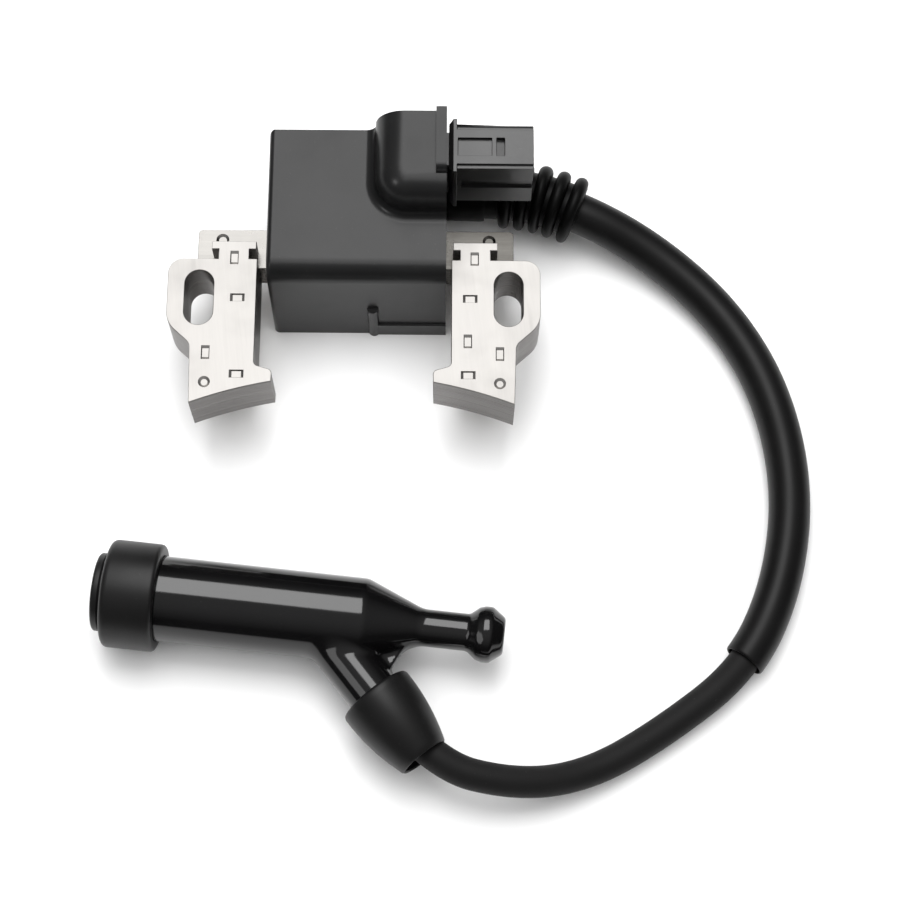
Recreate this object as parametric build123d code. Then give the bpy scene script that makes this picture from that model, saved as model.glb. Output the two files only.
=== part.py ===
from build123d import *
import math
import os

# Ignition coil for a small engine: two slotted laminated legs joined by a core bar that runs
# through a moulded case, a two-blade connector, and a high-tension lead with its plug cap.
# Millimetres. +X runs from the left leg to the right one, -Y points at the flywheel, and the
# coil rests on the potting side of its case at z = 0. x = 0 is midway between the legs.

# ---------------------------------------------------------------- laminated core
SHEET = 0.5
UPPER_SHEETS = 11
LOWER_SHEETS = 17
STACK_BASE_Z = 12.0
UPPER_THICK = SHEET * UPPER_SHEETS
LOWER_THICK = SHEET * LOWER_SHEETS
SPLIT_Z = STACK_BASE_Z + LOWER_THICK
STACK_TOP_Z = SPLIT_Z + UPPER_THICK

POLE_FRONT_Y = -32.2
FLYWHEEL_RADIUS = 100.0
LEG_INNER_X = 22.1
POLE_OUTER_X = 36.3
POLE_TIP_X = 18.1
FOOT_TIP_Y = -24.3
FOOT_ROOT_Y = -23.1
WAIST_X = 36.7
WAIST_Y = -18.0
LOBE_LOW_Y = -13.0
SHOULDER_Y = 2.6

SLOT_SPACING = 70.0
SLOT_WIDTH = 6.6
LOBE_WALL = 3.9
LOBE_X = SLOT_SPACING / 2 + SLOT_WIDTH / 2 + LOBE_WALL
SLOT_LENGTH = 13.3
SLOT_Y = -6.9

TAB_INNER_X = 22.4
TAB_WIDTH = 10.1
TAB_LENGTH = 4.3
NOTCH_DEPTH = 1.6
NOTCH_LENGTH = 2.4

BAR_HALF_LENGTH = 36.3
BAR_WIDTH = 9.6
BAR_CORNER = 1.0

DIMPLE_DEPTH = 0.3
DIMPLE_SIZE = (3.3, 1.9)
DIMPLE_ROUND = 2.7
BAR_DIMPLE_ROUND = 3.0
BAR_DIMPLE_AT = (30.7, 9.7)

# ---------------------------------------------------------------- moulded case
CASE_LEFT_X = -19.7
CASE_RIGHT_X = 20.8
CASE_FRONT_Y = -3.8
CASE_DRAFT = 1.2
CASE_REAR_Y = 32.2
CASE_HEIGHT = 32.0
CASE_WALL = 1.5
CASE_FRONT_ROUND = 5.0
CASE_ROUND = 1.2
POTTING_RECESS = 1.0

DOME_LENGTH = 16.2
DOME_DEPTH = 21.0
DOME_HEIGHT = 9.8
DOME_LEFT_X = CASE_RIGHT_X - DOME_LENGTH
DOME_FRONT_Y = CASE_REAR_Y - DOME_DEPTH
DOME_TOP_Z = CASE_HEIGHT + DOME_HEIGHT
DOME_CORNER = 7.5
DOME_ROUND = 6.8
DOME_FOOT_ROUND = 2.4
RIM_THICK = 2.4
RIM_RISE = 2.2
RIM_LENGTH = 15.4

RIB_X = 3.9
RIB_DIAMETER = 2.7
RIB_HEIGHT = 14.0
STEP_HEIGHT = 5.6
STEP_DEPTH = 0.35

# ---------------------------------------------------------------- windings and electronics
CORE_FIT = 0.1
WINDING_FIT = 0.1
BOBBIN_WALL = 0.8
BOBBIN_FLANGE = 1.0
PRIMARY_DEPTH = 1.0
SECONDARY_WALL = 0.6
SECONDARY_DEPTH = 1.4
SECONDARY_RIB = 0.4
SECONDARY_SECTIONS = 6
RIB_THICK = 0.8

BOARD_THICK = 1.6
BOARD_Z = 17.0
BOARD_GAP = 1.4
BOARD_REAR_INSET = 2.2
BOARD_LEFT_INSET = 3.7
BOARD_RIGHT_INSET = 6.3
WINDINGS_REACH = (
    CORE_FIT + BOBBIN_WALL + PRIMARY_DEPTH + WINDING_FIT + SECONDARY_WALL + SECONDARY_DEPTH + SECONDARY_RIB
)
BOARD_FRONT_Y = SHOULDER_Y + BAR_WIDTH + WINDINGS_REACH + BOARD_GAP
BOARD_REAR_Y = CASE_REAR_Y - BOARD_REAR_INSET
BOARD_LEFT_X = CASE_LEFT_X + BOARD_LEFT_INSET
BOARD_RIGHT_X = CASE_RIGHT_X - BOARD_RIGHT_INSET
PART_SETBACK = 1.0

# ---------------------------------------------------------------- connector
FLANGE_GAP = 0.5
FLANGE_THICK = 1.8
SOCKET_LENGTH = 17.3
SOCKET_WIDTH = 11.2
SOCKET_HEIGHT = 16.8
SOCKET_REAR_INSET = 1.0
SOCKET_RISE = 5.4
SOCKET_Y = (CASE_REAR_Y - SOCKET_REAR_INSET - SOCKET_WIDTH, CASE_REAR_Y - SOCKET_REAR_INSET)
SOCKET_Z = (CASE_HEIGHT + SOCKET_RISE - SOCKET_HEIGHT, CASE_HEIGHT + SOCKET_RISE)
SOCKET_WALL = 1.4
TOP_PAD_Y = (SOCKET_Y[0] + 0.9, SOCKET_Y[1] - 1.7)
TOP_PAD_HEIGHT = 0.6
GROOVE_RISE = 7.0
GROOVE_WIDTH = 3.7
GROOVE_DEPTH = 0.6
LATCH_LENGTH = 10.8
LATCH_WIDTH = 4.5
LATCH_POCKET = 1.9
LATCH_RIDGE = 1.0
LATCH_DEPTH = 0.8
POCKET_DEPTH = 1.3
NECK_CLEARANCE = 0.05
NECK_Y = (SOCKET_Y[0] + 1.5, SOCKET_Y[1] - 1.5)
NECK_Z = (SOCKET_Z[0] + 1.4, SOCKET_Z[1] - 1.4)
BLADE_THICK = 0.8
BLADE_WIDTH = 2.8
BLADE_PITCH = 6.8
BLADE_Z = (SOCKET_Z[0] + 5.2, SOCKET_Z[0] + 5.2 + BLADE_PITCH)
BLADE_TIP_SETBACK = 4.6
BLADE_ROOT_X = (BOARD_RIGHT_X - 1.5, BOARD_RIGHT_X - 3.5)

# ---------------------------------------------------------------- high-tension lead
LEAD_DIAMETER = 7.0
CORE_DIAMETER = 1.9
CORE_BORE = 2.0
SLEEVE_GAP = 0.55
SLEEVE_WALL = 0.7
SLEEVE_BORE = LEAD_DIAMETER + 2 * SLEEVE_GAP
SLEEVE_DIAMETER = SLEEVE_BORE + 2 * SLEEVE_WALL
SLEEVE_START = 12.0
SLEEVE_LENGTH = 152.0
LEAD_FIT = 0.05
# Route of the lead's centre line, from the tower to the cap. The last run lies on the axis
# of the cap's lead branch, and the first one on the axis of the tower.
LEAD_ROUTE = [
    (19.4, 27.0, 11.0),
    (36.0, 27.0, 11.0),
    (52.3, 22.1, 10.7),
    (69.7, 13.6, 6.6),
    (86.2, -1.4, 4.8),
    (96.8, -21.1, 4.8),
    (100.8, -45.2, 4.8),
    (97.1, -68.6, 4.8),
    (87.8, -87.3, 5.0),
    (69.6, -101.2, 3.8),
    (53.2, -110.9, 4.6),
    (37.0, -114.3, 9.6),
    (17.9, -110.1, 12.0),
    (5.5, -94.4, 12.0),
]

TOWER_LENGTH = 7.0
TOWER_WALL = 1.6
TOWER_BORE_FIT = 0.05
TERMINAL_PIN = 1.6
TERMINAL_PIN_LENGTH = 7.6
TERMINAL_DISC = 6.0
TERMINAL_DISC_THICK = 1.3

TOWER_DIAMETER = LEAD_DIAMETER + 2 * (TOWER_BORE_FIT + TOWER_WALL)
BOOT_BASE_WALL = 1.8
BOOT_BASE_LENGTH = 12.3
BOOT_WALL = 1.15
BOOT_BORE_FIT = 0.1
BOOT_BASE_DIAMETER = TOWER_DIAMETER + 2 * (LEAD_FIT + BOOT_BASE_WALL)
BOOT_VALLEY_DIAMETER = SLEEVE_DIAMETER + 2 * (BOOT_BORE_FIT + BOOT_WALL)
RING_COUNT = 5
RING_PITCH = 4.0
RING_HEIGHT = 2.15
RING_DIAMETER = BOOT_VALLEY_DIAMETER + 2 * RING_HEIGHT
RING_THICK = 3.0
RING_FIRST = 15.6

# ---------------------------------------------------------------- plug cap
BRANCH_ANGLE = 45.6
BRANCH_LEAD_END = 22.0
BRANCH_LENGTH = 32.4
BRANCH_WALL = 2.35
BRANCH_DIAMETER = LEAD_DIAMETER + 2 * (LEAD_FIT + BRANCH_WALL)
BODY_DIAMETER = 19.0
BODY_MOUTH = 44.5
CONE_START = 11.5
CONE_END = 24.2
NECK_DIAMETER = 8.3
KNOB_START = 34.6
KNOB_WIDEST = 38.0
KNOB_END = 42.6
KNOB_DIAMETER = 12.5
KNOB_FACE_DIAMETER = 8.0
WEB_THICK = 3.0

PLUG_BORE = 15.0
PLUG_BORE_DEPTH = 22.0
SOCKET_DIAMETER = 9.4
SOCKET_TUBE = 12.0
SOCKET_BORE = 6.4
SOCKET_BORE_DEPTH = 9.0
STEM_DIAMETER = 4.0
STEM_PAST_AXIS = 2.4
CLIP_WIRE = 0.8
CLIP_INNER = 6.3
CLIP_SETBACK = 3.0
CLIP_OPENING_ANGLE = 50.0
CAP_FIT = 0.05

SPRING_DIAMETER = 4.6
SPRING_WIRE = 0.6
SPRING_LENGTH = 4.0
SPRING_TURNS = 4
RESISTOR_DIAMETER = 5.4
RESISTOR_LENGTH = 9.0
RESISTOR_CAP = 1.6
SCREW_HEAD_THICK = 1.6
SCREW_DIAMETER = 1.7
SCREW_IN_LEAD = 8.0

SEAL_WALL = 2.5
SEAL_DIAMETER = BODY_DIAMETER + 2 * SEAL_WALL
SEAL_LENGTH = 11.8
SEAL_END_WALL = 1.5
LIP_BORE = 14.0
LIP_WALL = 1.7
LIP_DIAMETER = LIP_BORE + 2 * LIP_WALL
LIP_LENGTH = 2.4
SEAL_ROUND = 1.6

ENTRY_START = 22.5
ENTRY_END = 40.2
ENTRY_TOP_WALL = 2.6
ENTRY_MOUTH_WALL = 0.75
ENTRY_BEND_ROOM = 1.6
ENTRY_BULGE = 1.5
ENTRY_TOP_DIAMETER = BRANCH_DIAMETER + 2 * ENTRY_TOP_WALL
ENTRY_MOUTH_BORE = LEAD_DIAMETER + 2 * ENTRY_BEND_ROOM
ENTRY_MOUTH_DIAMETER = ENTRY_MOUTH_BORE + 2 * ENTRY_MOUTH_WALL
ENTRY_MIDDLE_DIAMETER = (ENTRY_TOP_DIAMETER + ENTRY_MOUTH_DIAMETER) / 2 + ENTRY_BULGE
ENTRY_ROUND = 0.7


# ---------------------------------------------------------------- helpers
def block(x_range, y_range, z_range):
    """A box between two planes in each direction."""
    size = [high - low for low, high in (x_range, y_range, z_range)]
    middle = [(low + high) / 2 for low, high in (x_range, y_range, z_range)]
    return Pos(*middle) * Box(*size)


def rod(x_start, x_end, diameter, y=0.0, z=0.0):
    """A cylinder along X."""
    solid = Cylinder(diameter / 2, x_end - x_start, align=(Align.CENTER, Align.CENTER, Align.MIN))
    return Pos(x_start, y, z) * (Rot(0, 90, 0) * solid)


def turned(profile):
    """A solid of revolution about X, from (x, radius) points in order."""
    face = make_face(Polyline(*[(x, radius, 0) for x, radius in profile], close=True))
    return revolve(face, Axis.X)


def sleeve_round_bar(x_range, inner, outer):
    """A rectangular tube round the core bar, with its walls at two distances from the bar."""
    middle_y = SHOULDER_Y + BAR_WIDTH / 2
    middle_z = STACK_BASE_Z + LOWER_THICK / 2
    plane = Plane(origin=(x_range[0], middle_y, middle_z), x_dir=(0, 1, 0), z_dir=(1, 0, 0))
    shape = RectangleRounded(BAR_WIDTH + 2 * outer, LOWER_THICK + 2 * outer, outer)
    if inner > 0.3:
        shape -= RectangleRounded(BAR_WIDTH + 2 * inner, LOWER_THICK + 2 * inner, inner)
    else:
        shape -= Rectangle(BAR_WIDTH + 2 * inner, LOWER_THICK + 2 * inner)
    return extrude(plane * shape, x_range[1] - x_range[0])


def write(name, shape):
    """One STEP file for each node."""
    export_step(shape, f"parts/{name}.step")


# ---------------------------------------------------------------- core
def pole_y(x):
    """The pole faces lie on the flywheel's circle, centred on x = 0."""
    centre = POLE_FRONT_Y - math.sqrt(FLYWHEEL_RADIUS ** 2 - POLE_OUTER_X ** 2)
    return centre + math.sqrt(FLYWHEEL_RADIUS ** 2 - x ** 2)


def leg_outline():
    """One sheet of the right leg: pole, waist, lobe with its slot, and shoulder."""
    outer_pole = (POLE_OUTER_X, pole_y(POLE_OUTER_X))
    tip_pole = (POLE_TIP_X, pole_y(POLE_TIP_X))
    pole_middle_x = (POLE_OUTER_X + POLE_TIP_X) / 2
    foot_tip = (POLE_TIP_X - 0.1, FOOT_TIP_Y)
    foot_root = (LEG_INNER_X, FOOT_ROOT_Y)
    shoulder = (LOBE_X, SHOULDER_Y)
    lobe_low = (LOBE_X, LOBE_LOW_Y)
    waist = (WAIST_X, WAIST_Y)
    pole = ThreePointArc(outer_pole, (pole_middle_x, pole_y(pole_middle_x)), tip_pole)
    rest = Polyline(
        tip_pole, foot_tip, foot_root, (LEG_INNER_X, SHOULDER_Y), shoulder, lobe_low, waist, outer_pole
    )
    face = make_face(Wire(pole.edges() + rest.edges()))
    rounds = [(foot_tip, 1.2), (foot_root, 1.2), (shoulder, 3.5), (lobe_low, 6.0), (waist, 2.5)]
    for corner, radius in rounds:
        point = Vector(*corner)
        nearest = face.vertices().sort_by(lambda v: (Vector(v.X, v.Y) - point).length)[0]
        face = fillet(nearest, radius)
    slot = SlotOverall(SLOT_LENGTH, SLOT_WIDTH, rotation=90)
    return face - Pos(SLOT_SPACING / 2, SLOT_Y) * slot


def tab_outline():
    """The T-shaped tab that laps over the core bar."""
    tab_outer_x = TAB_INNER_X + TAB_WIDTH
    tab_end_y = SHOULDER_Y + TAB_LENGTH
    tab = Pos((TAB_INNER_X + tab_outer_x) / 2, (SHOULDER_Y - 1 + tab_end_y) / 2) * Rectangle(
        TAB_WIDTH, TAB_LENGTH + 1
    )
    notch = Rectangle(2 * NOTCH_DEPTH, NOTCH_LENGTH)
    notch_y = SHOULDER_Y + NOTCH_LENGTH / 2
    tab -= Pos(TAB_INNER_X, notch_y) * notch
    tab -= Pos(tab_outer_x, notch_y) * notch
    return tab


def interlocks(with_extra):
    """Shallow pressed marks that lock the sheets: (x, y, turn) for the right leg."""
    places = [(27.3, 2.9, 90), (26.3, -6.9, 0), (33.0, -20.2, 90), (25.9, -25.3, 0)]
    if with_extra:
        places.append((25.8, -17.2, 90))
    marks = [Pos(x, y) * Rectangle(*DIMPLE_SIZE, rotation=turn) for x, y, turn in places]
    marks.append(Pos(33.0, -27.25) * Circle(DIMPLE_ROUND / 2))
    return marks


def leg_upper(with_extra):
    sheet = leg_outline() + tab_outline()
    pack = extrude(Pos(0, 0, SPLIT_Z) * sheet, UPPER_THICK)
    for mark in interlocks(with_extra):
        pack -= extrude(Pos(0, 0, STACK_TOP_Z - DIMPLE_DEPTH) * mark, 2 * DIMPLE_DEPTH)
    return pack


def leg_lower():
    return extrude(Pos(0, 0, STACK_BASE_Z) * leg_outline(), LOWER_THICK)


def core_bar():
    outline = RectangleRounded(2 * BAR_HALF_LENGTH, BAR_WIDTH, BAR_CORNER)
    bar = extrude(Pos(0, SHOULDER_Y + BAR_WIDTH / 2, STACK_BASE_Z) * outline, LOWER_THICK)
    for side in (-1, 1):
        mark = Pos(side * BAR_DIMPLE_AT[0], BAR_DIMPLE_AT[1], SPLIT_Z - DIMPLE_DEPTH)
        bar -= extrude(mark * Circle(BAR_DIMPLE_ROUND / 2), 2 * DIMPLE_DEPTH)
    return bar


# ---------------------------------------------------------------- case
def tower_axis():
    return LEAD_ROUTE[0][1], LEAD_ROUTE[0][2]


def case_front_y(z):
    """The front wall leans out towards its foot."""
    return CASE_FRONT_Y - CASE_DRAFT * (1 - z / CASE_HEIGHT)


def case_prism(inset, x_range, bottom, height):
    """The case's drafted section in YZ, between two heights, extruded along X."""
    rear = CASE_REAR_Y - inset
    points = [
        (case_front_y(bottom) + inset, bottom), (case_front_y(height) + inset, height),
        (rear, height), (rear, bottom),
    ]
    plane = Plane(origin=(x_range[0], 0, 0), x_dir=(0, 1, 0), z_dir=(1, 0, 0))
    face = make_face(Polyline(*points, close=True))
    return extrude(plane * face, x_range[1] - x_range[0])


def dome(inset, top_z, corner, top_round):
    """The raised corner over the connector, with a large round to its left and its front."""
    left = DOME_LEFT_X + inset
    front = DOME_FRONT_Y + inset
    right = CASE_RIGHT_X - inset
    rear = CASE_REAR_Y - inset
    solid = block((left, right), (front, rear), (CASE_HEIGHT - CASE_WALL - 1, top_z))
    upright = solid.edges().filter_by(Axis.Z).sort_by(lambda e: e.center().X + e.center().Y)[0]
    solid = fillet(upright, corner)
    top = solid.edges().filter_by(lambda e: abs(e.center().Z - top_z) < 0.01)
    top = top.filter_by(lambda e: e.center().X < right - 0.1 and e.center().Y < rear - 0.1)
    return fillet(top, top_round)


def case_shell():
    width = (CASE_LEFT_X, CASE_RIGHT_X)
    body = case_prism(0, width, 0, CASE_HEIGHT)
    top_front = body.edges().filter_by(Axis.X).sort_by(lambda e: e.center().Y - e.center().Z)[0]
    body = fillet(top_front, CASE_FRONT_ROUND)
    left_edges = body.edges().filter_by(lambda e: e.center().X < CASE_LEFT_X + 0.01)
    body = fillet(left_edges.filter_by(lambda e: e.center().Z > 0.1), CASE_ROUND)

    body += dome(0, DOME_TOP_Z, DOME_CORNER, DOME_ROUND)
    foot = body.edges().filter_by(lambda e: abs(e.center().Z - CASE_HEIGHT) < 0.01)
    foot = foot.filter_by(lambda e: e.center().X > DOME_LEFT_X - 0.1 and e.center().Y > DOME_FRONT_Y - 0.1)
    foot = foot.filter_by(lambda e: e.center().X < CASE_RIGHT_X - 0.1 and e.center().Y < CASE_REAR_Y - 0.1)
    body = fillet(foot, DOME_FOOT_ROUND)

    rim_x = (CASE_RIGHT_X - RIM_THICK, CASE_RIGHT_X)
    rim = block(rim_x, (CASE_REAR_Y - RIM_LENGTH, CASE_REAR_Y), (CASE_HEIGHT, DOME_TOP_Z + RIM_RISE))
    rim_nose = rim.edges().filter_by(Axis.X).sort_by(lambda e: e.center().Y - e.center().Z)[0]
    body += fillet(rim_nose, RIM_RISE - 0.3)

    rib = Pos(RIB_X, CASE_FRONT_Y - CASE_DRAFT / 2, 0) * Cylinder(
        RIB_DIAMETER / 2, RIB_HEIGHT, align=(Align.CENTER, Align.CENTER, Align.MIN)
    )
    step_x = (RIB_X, CASE_RIGHT_X)
    front = case_front_y(0)
    body += block(step_x, (front - STEP_DEPTH, front + 0.8), (0, STEP_HEIGHT))
    body += rib

    tower_y, tower_z = tower_axis()
    body += rod(CASE_RIGHT_X - 0.5, CASE_RIGHT_X + TOWER_LENGTH, TOWER_DIAMETER, tower_y, tower_z)

    body -= case_prism(CASE_WALL, inner_x(), -1, CASE_HEIGHT - CASE_WALL)
    body -= dome_hollow()
    bore_x = (CASE_RIGHT_X - CASE_WALL - 1, CASE_RIGHT_X + TOWER_LENGTH + 1)
    body -= rod(*bore_x, tower_bore(), tower_y, tower_z)
    body -= bobbin_windows()
    body -= connector_window()
    return body


def inner_x():
    return (CASE_LEFT_X + CASE_WALL, CASE_RIGHT_X - CASE_WALL)


def tower_bore():
    return LEAD_DIAMETER + 2 * TOWER_BORE_FIT


def dome_hollow():
    corner = DOME_CORNER - CASE_WALL
    return dome(CASE_WALL, DOME_TOP_Z - CASE_WALL, corner, DOME_ROUND - CASE_WALL)


def bobbin_outer():
    return CORE_FIT + BOBBIN_WALL


def bobbin_windows():
    reach = bobbin_outer() + CORE_FIT
    y_range = (SHOULDER_Y - reach, SHOULDER_Y + BAR_WIDTH + reach)
    z_range = (STACK_BASE_Z - reach, SPLIT_Z + reach)
    return block((CASE_LEFT_X - 1, CASE_RIGHT_X + 1), y_range, z_range)


def grown(interval, amount):
    return (interval[0] - amount, interval[1] + amount)


def connector_window():
    x_range = (CASE_RIGHT_X - RIM_THICK - 1, CASE_RIGHT_X + 1)
    return block(x_range, grown(NECK_Y, NECK_CLEARANCE), grown(NECK_Z, NECK_CLEARANCE))


# ---------------------------------------------------------------- windings
def primary_bobbin():
    tube = sleeve_round_bar((CASE_LEFT_X, CASE_RIGHT_X), CORE_FIT, bobbin_outer())
    left, right = inner_x()
    for start in (left, right - BOBBIN_FLANGE):
        tube += sleeve_round_bar(
            (start, start + BOBBIN_FLANGE), CORE_FIT, bobbin_outer() + PRIMARY_DEPTH
        )
    return tube


def winding_x():
    left, right = inner_x()
    return (left + BOBBIN_FLANGE, right - BOBBIN_FLANGE)


def primary_winding():
    return sleeve_round_bar(winding_x(), bobbin_outer(), bobbin_outer() + PRIMARY_DEPTH)


def secondary_inner():
    return bobbin_outer() + PRIMARY_DEPTH + WINDING_FIT


def secondary_ribs():
    """Starting places of the flanges between the secondary's sections."""
    left, right = winding_x()
    pitch = (right - left - RIB_THICK) / SECONDARY_SECTIONS
    return [left + pitch * index for index in range(SECONDARY_SECTIONS + 1)]


def secondary_bobbin():
    wall = secondary_inner() + SECONDARY_WALL
    flange = wall + SECONDARY_DEPTH + SECONDARY_RIB
    bobbin = sleeve_round_bar(winding_x(), secondary_inner(), wall)
    for start in secondary_ribs():
        bobbin += sleeve_round_bar((start, start + RIB_THICK), secondary_inner(), flange)
    return bobbin


def secondary_winding():
    wall = secondary_inner() + SECONDARY_WALL
    starts = secondary_ribs()
    sections = []
    for start, following in zip(starts, starts[1:]):
        x_range = (start + RIB_THICK, following)
        sections.append(sleeve_round_bar(x_range, wall, wall + SECONDARY_DEPTH))
    return Compound(children=sections)


# ---------------------------------------------------------------- electronics
def board_top():
    return BOARD_Z + BOARD_THICK


def igniter_board():
    board = block((BOARD_LEFT_X, BOARD_RIGHT_X), (BOARD_FRONT_Y, BOARD_REAR_Y), (BOARD_Z, board_top()))
    blade_y = (NECK_Y[0] + NECK_Y[1]) / 2
    for root in BLADE_ROOT_X:
        hole_x = grown((root, root + BLADE_THICK), 0.1)
        hole_y = grown((blade_y, blade_y), BLADE_WIDTH / 2 + 0.1)
        board -= block(hole_x, hole_y, (BOARD_Z - 1, board_top() + 1))
    return board


def power_transistor():
    """Flat power package with its metal tab and three legs."""
    left = BOARD_LEFT_X + 2.0
    front = BOARD_FRONT_Y + PART_SETBACK
    top = board_top()
    package = block((left, left + 10.0), (front, front + 4.4), (top + 1.5, top + 9.5))
    tab = block((left + 0.5, left + 9.5), (front + 3.4, front + 4.4), (top + 9.5, top + 11.0))
    legs = [
        block((left + offset, left + offset + 0.9), (front + 1.8, front + 2.4), (top, top + 1.5))
        for offset in (2.0, 4.55, 7.1)
    ]
    return package + tab + legs


def storage_capacitor():
    left = BOARD_LEFT_X + 14.0
    front = BOARD_FRONT_Y + PART_SETBACK
    top = board_top()
    body = block((left, left + 9.0), (front, front + 6.0), (top, top + 8.5))
    return fillet(body.edges().filter_by(Axis.Z), 1.0)


def trigger_resistors():
    """Three axial resistors lying on the board behind the larger parts."""
    bodies = []
    for index in range(3):
        start = BOARD_LEFT_X + 2.0 + 8.0 * index
        bodies.append(rod(start, start + 5.5, 2.2, BOARD_REAR_Y - 1.8, board_top() + 1.1))
    return Compound(children=bodies)


def ht_terminal():
    """Disc behind the tower with the pin that the lead is pushed on, and its strap."""
    tower_y, tower_z = tower_axis()
    wall_x = CASE_RIGHT_X - CASE_WALL
    disc = rod(wall_x - TERMINAL_DISC_THICK, wall_x, TERMINAL_DISC, tower_y, tower_z)
    pin = rod(wall_x - 0.5, wall_x + TERMINAL_PIN_LENGTH, TERMINAL_PIN, tower_y, tower_z)
    strap_start = SHOULDER_Y + BAR_WIDTH + WINDINGS_REACH + WINDING_FIT
    strap = block((wall_x - 0.8, wall_x), (strap_start, tower_y), grown((tower_z, tower_z), 0.6))
    return disc + pin + strap


def potting_fill(solids):
    """Resin in the case and the dome, round everything held inside."""
    fill = case_prism(CASE_WALL, inner_x(), POTTING_RECESS, CASE_HEIGHT - CASE_WALL)
    fill += dome_hollow()
    core_y = grown((SHOULDER_Y, SHOULDER_Y + BAR_WIDTH), WINDINGS_REACH)
    core_z = grown((STACK_BASE_Z, SPLIT_Z), WINDINGS_REACH)
    fill -= block(grown(inner_x(), 1), core_y, core_z)
    for solid in solids:
        fill -= solid
    return fill


# ---------------------------------------------------------------- connector
def connector_shell():
    wall_x = CASE_RIGHT_X
    flange_x = wall_x + FLANGE_GAP
    body_x = flange_x + FLANGE_THICK
    end_x = body_x + SOCKET_LENGTH
    pad_top = SOCKET_Z[1] + TOP_PAD_HEIGHT

    flange = block((flange_x, body_x), (SOCKET_Y[0] - 1.0, SOCKET_Y[1] + 1.0), (SOCKET_Z[0] - 1.0, pad_top))
    back = flange.edges().filter_by(lambda e: e.center().X < flange_x + 0.01)
    shell = chamfer(back, 1.0)
    shell += block((body_x, end_x), SOCKET_Y, SOCKET_Z)
    shell += block((body_x, end_x), TOP_PAD_Y, (SOCKET_Z[1] - 0.5, pad_top))
    groove_z = (SOCKET_Z[0] + GROOVE_RISE, SOCKET_Z[0] + GROOVE_RISE + GROOVE_WIDTH)
    shell -= block((body_x + 1.0, end_x + 1), (SOCKET_Y[0] - 1, SOCKET_Y[0] + GROOVE_DEPTH), groove_z)
    outer = shell.edges().filter_by(Axis.X).filter_by(lambda e: e.center().Y > SOCKET_Y[1] - 0.1)
    shell = fillet(outer.filter_by(lambda e: e.length > SOCKET_LENGTH - 0.1), 1.2)

    latch_y = (sum(TOP_PAD_Y) - LATCH_WIDTH) / 2
    latch_range = (latch_y, latch_y + LATCH_WIDTH)
    pocket_x = body_x + LATCH_LENGTH - LATCH_POCKET
    ridge_x = pocket_x - LATCH_RIDGE
    shell -= block((body_x + 0.2, ridge_x), latch_range, (pad_top - LATCH_DEPTH, pad_top + 1))
    shell -= block((pocket_x, pocket_x + LATCH_POCKET), latch_range, (pad_top - POCKET_DEPTH, pad_top + 1))

    cavity_y = grown(SOCKET_Y, -SOCKET_WALL)
    cavity_z = grown(SOCKET_Z, -SOCKET_WALL)
    shell -= block((body_x + 0.4, end_x + 1), cavity_y, cavity_z)
    neck_x = (wall_x - RIM_THICK - 0.6, flange_x + 0.5)
    shell += block(neck_x, NECK_Y, NECK_Z)
    for blade in blade_blocks(0.05):
        shell -= blade
    return shell


def blade_blocks(clearance):
    """The two blades: a flat run through the neck and a leg down to the board."""
    blade_y = (NECK_Y[0] + NECK_Y[1]) / 2
    width = grown((blade_y, blade_y), BLADE_WIDTH / 2 + clearance)
    end_x = CASE_RIGHT_X + FLANGE_GAP + FLANGE_THICK + SOCKET_LENGTH - BLADE_TIP_SETBACK
    blades = []
    for root, height in zip(BLADE_ROOT_X, BLADE_Z):
        depth = grown((height, height + BLADE_THICK), clearance)
        run = block((root, end_x + clearance), width, depth)
        leg_x = grown((root, root + BLADE_THICK), clearance)
        leg = block(leg_x, width, (BOARD_Z - 0.6, height + BLADE_THICK))
        blades.append(run + leg)
    return blades


# ---------------------------------------------------------------- lead
def lead_radii():
    """Each bend's radius: 0.45 of its shorter run, over the tangent of half its turn."""
    points = [Vector(*point) for point in LEAD_ROUTE]
    runs = [after - before for before, after in zip(points, points[1:])]
    radii = []
    for before, after in zip(runs, runs[1:]):
        half_turn = math.radians(before.get_angle(after)) / 2
        radii.append(0.45 * min(before.length, after.length) / math.tan(half_turn))
    return radii


def lead_wire():
    return Wire(FilletPolyline(*LEAD_ROUTE, radius=lead_radii()).edges())


def along_lead(start, end):
    """The stretch of the lead's path between two distances from its tower end."""
    wire = lead_wire()
    return wire.trim(start / wire.length, end / wire.length)


def swept(path, section):
    """A plain section carried along a path."""
    place = path.location_at(0)
    return sweep(place * section, path=path)


def lead_insulation():
    return swept(lead_wire(), Circle(LEAD_DIAMETER / 2) - Circle(CORE_BORE / 2))


def lead_core():
    start = TERMINAL_PIN_LENGTH + 0.1
    end = lead_wire().length - SCREW_IN_LEAD - 0.1
    return swept(along_lead(start, end), Circle(CORE_DIAMETER / 2))


def lead_sleeve():
    path = along_lead(SLEEVE_START, SLEEVE_START + SLEEVE_LENGTH)
    return swept(path, Circle(SLEEVE_DIAMETER / 2) - Circle(SLEEVE_BORE / 2))


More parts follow.
